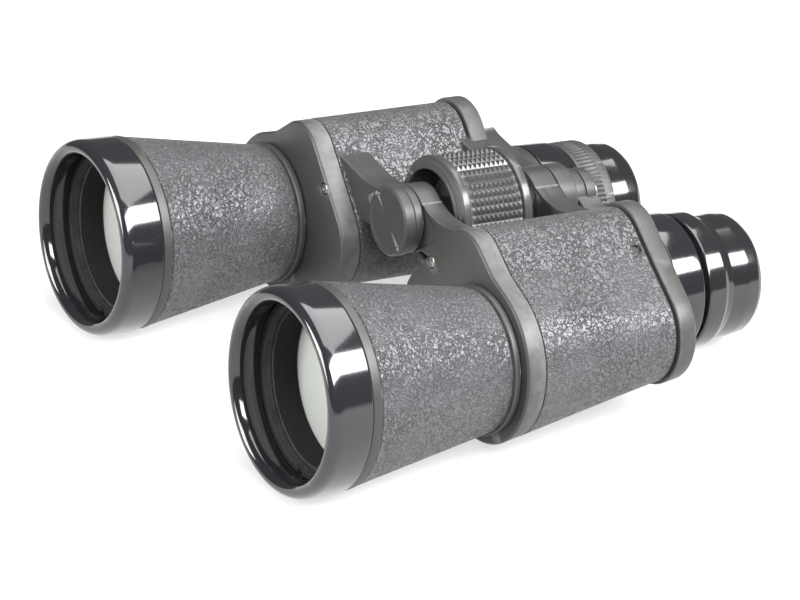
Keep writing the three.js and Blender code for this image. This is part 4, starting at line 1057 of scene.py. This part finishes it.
def knurled_grip(front, rear, outer, sizes):
    """Square pyramids: the radius is low on even rows and columns, and high where both are odd."""
    columns = sizes.knurl_columns * 2 + 1
    rows = sizes.knurl_rows * 2
    i, j = np.meshgrid(np.arange(columns), np.arange(rows), indexing="ij")
    peak = (i % 2 == 1) & (j % 2 == 1)
    radius = outer - sizes.knurl_depth * np.where(peak, 0.0, 1.0)
    station = front + (rear - front) * i / (columns - 1)
    angle = 2 * math.pi * j / rows
    heights = HINGE_HEIGHT + radius * np.sin(angle)
    points = np.stack([radius * np.cos(angle), station, heights], axis=-1).reshape(-1, 3)
    inner = outer - sizes.knurl_depth - 0.6
    ring = np.arange(rows) * 2 * math.pi / rows
    ends = [np.stack([inner * np.cos(ring), np.full(rows, s), HINGE_HEIGHT + inner * np.sin(ring)], axis=1)
            for s in (rear, front)]
    points = np.vstack([points, *ends])
    quads = grid_quads(columns + 2, rows, close_rows=True)
    row = quads[:, 0] // rows
    column = quads[:, 0] % rows
    even = ((row + column) % 2 == 0)[:, None]
    first = np.where(even, quads[:, [0, 1, 2]], quads[:, [0, 1, 3]])
    second = np.where(even, quads[:, [0, 2, 3]], quads[:, [1, 2, 3]])
    mesh = mesh_from("wheel_grip", points, np.vstack([first, second]))
    mesh.polygons.foreach_set("use_smooth", np.zeros(len(mesh.polygons), dtype=bool))
    place("wheel_grip", mesh, "wheel", "focus_wheel", "focus_wheel")


# ---------- the bridge and the eyepieces ----------

def bridge_arm(side, sign, x):
    """A ring round the eyepiece barrel, and a bar with round ends to the knuckle on the focus rod."""
    node = side + "_bridge_arm"
    front, rear = span(node)
    body = side + "_carriage"
    bore, outer = reach("left_eyepiece_sleeve", EYEPIECE_X, 0)
    ring = ring_profile(bore, outer, front, rear, 0.5)
    place_turned(side + "_bridge_ring", ring, x, 0, TURN_STEPS, "satin", body, node)
    middle = (front + rear) / 2
    low, high = (front, middle - 0.15) if side == "left" else (middle + 0.15, rear)
    hub = ring_profile(3.6, 8.2, low, high, 0.35)
    place_turned(side + "_bridge_hub", hub, 0, HINGE_HEIGHT, 112, "satin", body, node)
    away = math.hypot(x, HINGE_HEIGHT)
    toward = (away - outer + 3) / away
    lobes = [((0.0, HINGE_HEIGHT), 5.4, 24, 6), ((abs(x) * toward, HINGE_HEIGHT * (1 - toward)), 7.4, 24, 6)]
    outline = round_lobes(lobes)
    outline = outline if sign > 0 else (outline * np.array([-1, 1]))[::-1]
    full = slab(side + "_bridge_bar", outline, front, rear, 0.5)
    bar = place(side + "_bridge_bar", full, "satin", body, node)
    rooms = [(front - 1, rear + 1, 3.6)]
    rooms.append((middle - 0.15, rear + 1, 8.6) if side == "left" else (front - 1, middle + 0.15, 8.6))
    for first, last, radius in rooms:
        profile = [[0, first], [radius, first], [radius, last], [0, last]]
        cut(bar, turned("room", profile, 0, HINGE_HEIGHT, 96))
    profile = [[0, front - 1], [outer - 1, front - 1], [outer - 1, rear + 1], [0, rear + 1]]
    cut(bar, turned("room", profile, x, 0, 128))


def bridge_screw():
    front, rear = span("bridge_screw")
    _, outer = reach("bridge_screw", 0, HINGE_HEIGHT)
    profile = rounded([(0, front), (outer, front), (outer, rear, 0.7), (0, rear)], 5)
    body = "left_carriage"
    screw = place_turned("bridge_fixing", profile, 0, HINGE_HEIGHT, 96, "steel", body, "bridge_screw")
    slot = np.array([[outer + 1, -0.6], [outer + 1, 0.6], [-outer - 1, 0.6], [-outer - 1, -0.6]])
    cut(screw, slab("slot", slot + np.array([0, HINGE_HEIGHT]), rear - 1.2, rear + 1, 0.01))


def eyepiece(side, x):
    carriage = side + "_carriage"
    ocular = "left_carriage" if side == "left" else "right_ocular"
    cup_body = "left_carriage" if side == "left" else "diopter_ring"
    guide = side + "_eyepiece_guide"
    front, rear = span(guide)
    _, outer = reach(guide, x, 0)
    profile = ring_profile(outer - 2.2, outer, LID_REAR - 0.4, rear, 0.2)
    place_turned(side + "_guide", profile, x, 0, 128, "satin", side + "_barrel", guide)
    sleeve = side + "_eyepiece_sleeve"
    front, rear = span(sleeve)
    bore, outer = reach(sleeve, x, 0)
    profile = rounded([(bore, front), (outer, front, 0.3), (outer, rear, 0.8), (bore, rear, 0.3)], 6)
    place_turned(side + "_sleeve", profile, x, 0, 192, "gloss", carriage, sleeve)
    barrel = side + "_ocular_barrel"
    front, rear = span(barrel)
    _, outer = reach(barrel, x, 0)
    lens_front, lens_rear = span(side + "_eye_lens")
    _, lens_radius = reach(side + "_eye_lens", x, 0)
    profile = rounded([
        (outer - 2, front), (outer, front, 0.3), (outer, rear, 0.2), (lens_radius - 0.8, rear, 0.2),
        (lens_radius - 0.8, lens_rear + 0.3), (lens_radius + 0.3, lens_rear + 0.3),
        (lens_radius + 0.3, lens_front - 0.5), (outer - 2, lens_front - 2.5),
    ], 4)
    place_turned(side + "_barrel_tube", profile, x, 0, 128, "matt", ocular, barrel)
    lens = dome(side + "_rear_lens", lens_radius, lens_front + 1, lens_rear - 0.8, 1.0, 0.8, x, 0, 96)
    place(side + "_rear_lens", lens, "glass", ocular, side + "_eye_lens")
    eyecup(side, x, cup_body)


def eyecup(side, x, body):
    """A polished cup: a shoulder on the plain side, a waist, a swell, a rounded end and a funnel."""
    node = side + "_eyecup"
    _, rear = span(node)
    front = span("left_eyecup")[0]
    bore = reach(side + "_ocular_barrel", x, 0)[1] + 0.3
    neck = bore + 0.9
    end = neck - 1.1
    floor_radius = reach(side + "_eye_lens", x, 0)[1]
    web = span(side + "_ocular_barrel")[1] + 0.3
    start = front + 10.8
    if side == "left":
        wide = neck + 2.15
        lead = [(bore, front), (wide, front, 0.9), (wide, front + 6.5, 0.7), (neck + 0.5, front + 8.4, 1.2),
                (neck, start, 1.5)]
    else:
        lead = [(bore, front + 1.2), (neck, front + 1.2, 0.3), (neck, start)]
    tail = [
        (neck + 0.3, (start + rear) / 2, 12.0), (neck, rear - 1.9, 1.6), (end, rear, 1.1),
        (end - 1.6, rear, 0.6),
        (floor_radius, web + 1.4, 0.5), (floor_radius, web, 0.0), (bore, web),
    ]
    place_turned(side + "_cup", rounded(lead + tail, 8), x, 0, 192, "eyecup", body, node)


def dioptre_ring(x):
    """Straight ribs round the ring: the radius dips as the square of a cosine between two plain bands."""
    sizes = bpy.context.scene.binocular_sizes
    front, rear = span("diopter_ring")
    bore, outer = reach("diopter_ring", x, 0)
    ribs_front = front + 1.1
    ribs_rear = rear - 3.6
    profile = rounded([
        (bore, front), (outer, front, 0.6), (outer, ribs_front), (outer, ribs_front + 0.25),
        (outer, ribs_rear - 0.25), (outer, ribs_rear), (outer, rear, 0.6), (bore, rear),
    ], 4)

    def ribs(radius, station, angle):
        ribbed = (station > ribs_front + 0.1) & (station < ribs_rear - 0.1) & (radius > outer - 0.2)
        dip = np.cos(angle * sizes.dioptre_ribs / 2) ** 2 * sizes.rib_depth
        return np.where(ribbed, radius - dip, radius), station

    steps = sizes.dioptre_ribs * 8
    place_turned("dioptre_grip", profile, x, 0, steps, "satin", "diopter_ring", "diopter_ring", relief=ribs)


def inner_pieces():
    """Prisms, shelves and field lenses keep the working model's shapes and get their finishes."""
    inner = (
        ("_front_prism", "glass"), ("_rear_prism", "glass"), ("_prism_shelf", "matt"), ("_field_lens", "glass"),
    )
    for side, _ in SIDES:
        for name, finish in inner:
            node = frame["nodes"][side + name]
            node.data.materials.clear()
            node.data.materials.append(material(finish))


# ---------- the studio ----------

CAMERA_AZIMUTH = math.radians(57.68)
CAMERA_ELEVATION = math.radians(24.48)
CAMERA_ROLL = math.radians(2.06)
CAMERA_DISTANCE = 1.1343
CAMERA_LENS = 161.5
CAMERA_SENSOR = 36
AIM = Vector((-0.0080, -0.0056, 0.0151))


def studio_camera():
    data = bpy.data.cameras.new("camera")
    data.lens = CAMERA_LENS
    data.sensor_width = CAMERA_SENSOR
    data.clip_start = 0.01
    camera = bpy.data.objects.new("camera", data)
    bpy.context.scene.collection.objects.link(camera)
    flat = math.cos(CAMERA_ELEVATION)
    back = Vector((
        math.sin(CAMERA_AZIMUTH) * flat, -math.cos(CAMERA_AZIMUTH) * flat, math.sin(CAMERA_ELEVATION),
    ))
    facing = back.to_track_quat("Z", "Y").to_matrix().to_4x4()
    roll = Matrix.Rotation(CAMERA_ROLL, 4, "Z")
    camera.matrix_world = Matrix.Translation(AIM + back * CAMERA_DISTANCE) @ facing @ roll
    bpy.context.scene.camera = camera


def softbox(name, at, towards, width, depth, power, colour=(1, 1, 1)):
    """A rectangular light at a place, turned to face a point."""
    data = bpy.data.lights.new(name, "AREA")
    data.shape = "RECTANGLE"
    data.size = width
    data.size_y = depth
    data.energy = power
    data.color = colour
    light = bpy.data.objects.new(name, data)
    bpy.context.scene.collection.objects.link(light)
    direction = Vector(at) - Vector(towards)
    light.matrix_world = Matrix.Translation(at) @ direction.to_track_quat("Z", "Y").to_matrix().to_4x4()
    return light


def studio_floor():
    size = 3.0
    mesh = bpy.data.meshes.new("floor")
    corners = [(-size, -size, 0), (size, -size, 0), (size, size, 0), (-size, size, 0)]
    mesh.from_pydata(corners, [], [(0, 1, 2, 3)])
    floor = bpy.data.objects.new("floor", mesh)
    bpy.context.scene.collection.objects.link(floor)
    made, tree, shader = blank_material("paper", Roughness=0.9, Specular_IOR_Level=0.1)
    shader.inputs["Emission Color"].default_value = (1, 1, 0.99, 1)
    fibre = use_group(tree, "enamel_grain", Grain=900.0, Dust=0.0)
    tree.links.new(mix_colour(tree, fibre.outputs["Tone"], (0.26, 0.26, 0.26, 1), (0.29, 0.29, 0.29, 1)),
                   shader.inputs["Base Color"])
    seen = tree.nodes.new("ShaderNodeLightPath")
    direct = scaled_math(tree, "MULTIPLY", seen.outputs["Is Camera Ray"], 0.66)
    mirrored = scaled_math(tree, "MULTIPLY", seen.outputs["Is Glossy Ray"], 0.60)
    glow = scaled_math(tree, "ADD", direct, mirrored)
    tree.links.new(glow, shader.inputs["Emission Strength"])
    mesh.materials.append(made)


def studio_world():
    """White paper all round for the camera, and for everything else a dim room that the soft boxes light."""
    world = bpy.data.worlds.new("studio")
    bpy.context.scene.world = world
    world.use_nodes = True
    tree = world.node_tree
    tree.nodes.clear()
    seen = add_node(tree, "ShaderNodeBackground", values={"Color": (1, 1, 1, 1), "Strength": 1.05})
    felt = add_node(tree, "ShaderNodeBackground", values={"Color": (0.96, 0.97, 1, 1), "Strength": 0.13})
    path = tree.nodes.new("ShaderNodeLightPath")
    mix = tree.nodes.new("ShaderNodeMixShader")
    out = tree.nodes.new("ShaderNodeOutputWorld")
    tree.links.new(path.outputs["Is Camera Ray"], mix.inputs[0])
    tree.links.new(felt.outputs[0], mix.inputs[1])
    tree.links.new(seen.outputs[0], mix.inputs[2])
    tree.links.new(mix.outputs[0], out.inputs["Surface"])


# ---------- operators ----------

class BuildStage(bpy.types.Operator):
    """Sets the camera, the paper floor and the soft boxes"""
    bl_idname = "binoculars.stage"
    bl_label = "Stage"

    def execute(self, context):
        context.scene.view_settings.view_transform = "Standard"
        studio_camera()
        studio_floor()
        studio_world()
        softbox("overhead", (0.05, 0.15, 0.80), (0, 0, 0.02), 0.9, 0.7, 10)
        softbox("front_left", (-0.10, -1.05, 0.42), (0, -0.05, 0.02), 0.6, 0.6, 16)
        softbox("near_side", (0.72, 0.16, 0.66), (0.02, 0.02, 0.02), 1.5, 0.36, 34, (0.97, 0.97, 1))
        return {"FINISHED"}


class BuildObjectives(bpy.types.Operator):
    """Builds both objective ends: bezel, retaining ring, lens, tube, its covering and its collar"""
    bl_idname = "binoculars.objectives"
    bl_label = "Objectives"

    def execute(self, context):
        for side, sign in SIDES:
            for build in (objective_bezel, lock_ring, cell_ring, objective_lens, tube_and_skin):
                build(side, OBJECTIVE_X * sign)
        return {"FINISHED"}


class BuildBodies(bpy.types.Operator):
    """Builds both prism bodies: covers, covering, casting and screws"""
    bl_idname = "binoculars.bodies"
    bl_label = "Prism bodies"

    def execute(self, context):
        for side, sign in SIDES:
            for build in (front_cover, body_covering, rear_cover, housing_core):
                build(side, sign)
        return {"FINISHED"}


class BuildHinge(bpy.types.Operator):
    """Builds the hinge arms, their knuckles, the cap, the axle and the focus rod"""
    bl_idname = "binoculars.hinge"
    bl_label = "Hinge"

    def execute(self, context):
        for side, sign in SIDES:
            hinge_arms(side, sign)
        hinge_cap()
        axle_and_rod()
        return {"FINISHED"}


class BuildWheel(bpy.types.Operator):
    """Builds the focus wheel and its knurled grip"""
    bl_idname = "binoculars.wheel"
    bl_label = "Focus wheel"

    def execute(self, context):
        focus_wheel()
        return {"FINISHED"}


class BuildEyepieces(bpy.types.Operator):
    """Builds the bridge, the eyepieces, the eyecups and the dioptre ring"""
    bl_idname = "binoculars.eyepieces"
    bl_label = "Eyepieces"

    def execute(self, context):
        for side, sign in SIDES:
            bridge_arm(side, sign, EYEPIECE_X * sign)
            eyepiece(side, EYEPIECE_X * sign)
        dioptre_ring(-EYEPIECE_X)
        bridge_screw()
        return {"FINISHED"}


class FinishInnerPieces(bpy.types.Operator):
    """Gives the prisms, shelves and field lenses their finishes"""
    bl_idname = "binoculars.inner"
    bl_label = "Inner pieces"

    def execute(self, context):
        inner_pieces()
        return {"FINISHED"}


STEPS = (BuildStage, BuildObjectives, BuildBodies, BuildHinge, BuildWheel, BuildEyepieces, FinishInnerPieces)


class BinocularsPanel(bpy.types.Panel):
    bl_idname = "VIEW3D_PT_binoculars"
    bl_label = "Binoculars"
    bl_space_type = "VIEW_3D"
    bl_region_type = "UI"
    bl_category = "Binoculars"

    def draw(self, context):
        layout = self.layout
        for settings in (context.scene.binocular_sizes, context.scene.binocular_colours):
            column = layout.column(align=True)
            for name in settings.__annotations__:
                column.prop(settings, name)
        for step in STEPS:
            layout.operator(step.bl_idname)


CLASSES = (BinocularSizes, BinocularColours, *STEPS, BinocularsPanel)


def register():
    for made in CLASSES:
        bpy.utils.register_class(made)
    bpy.types.Scene.binocular_sizes = PointerProperty(type=BinocularSizes)
    bpy.types.Scene.binocular_colours = PointerProperty(type=BinocularColours)


def unregister():
    del bpy.types.Scene.binocular_colours
    del bpy.types.Scene.binocular_sizes
    for made in reversed(CLASSES):
        bpy.utils.unregister_class(made)


def main():
    register()
    for step in STEPS:
        group, name = step.bl_idname.split(".")
        getattr(getattr(bpy.ops, group), name)()
    bpy.context.view_layer.update()


if __name__ == "__main__":
    main()
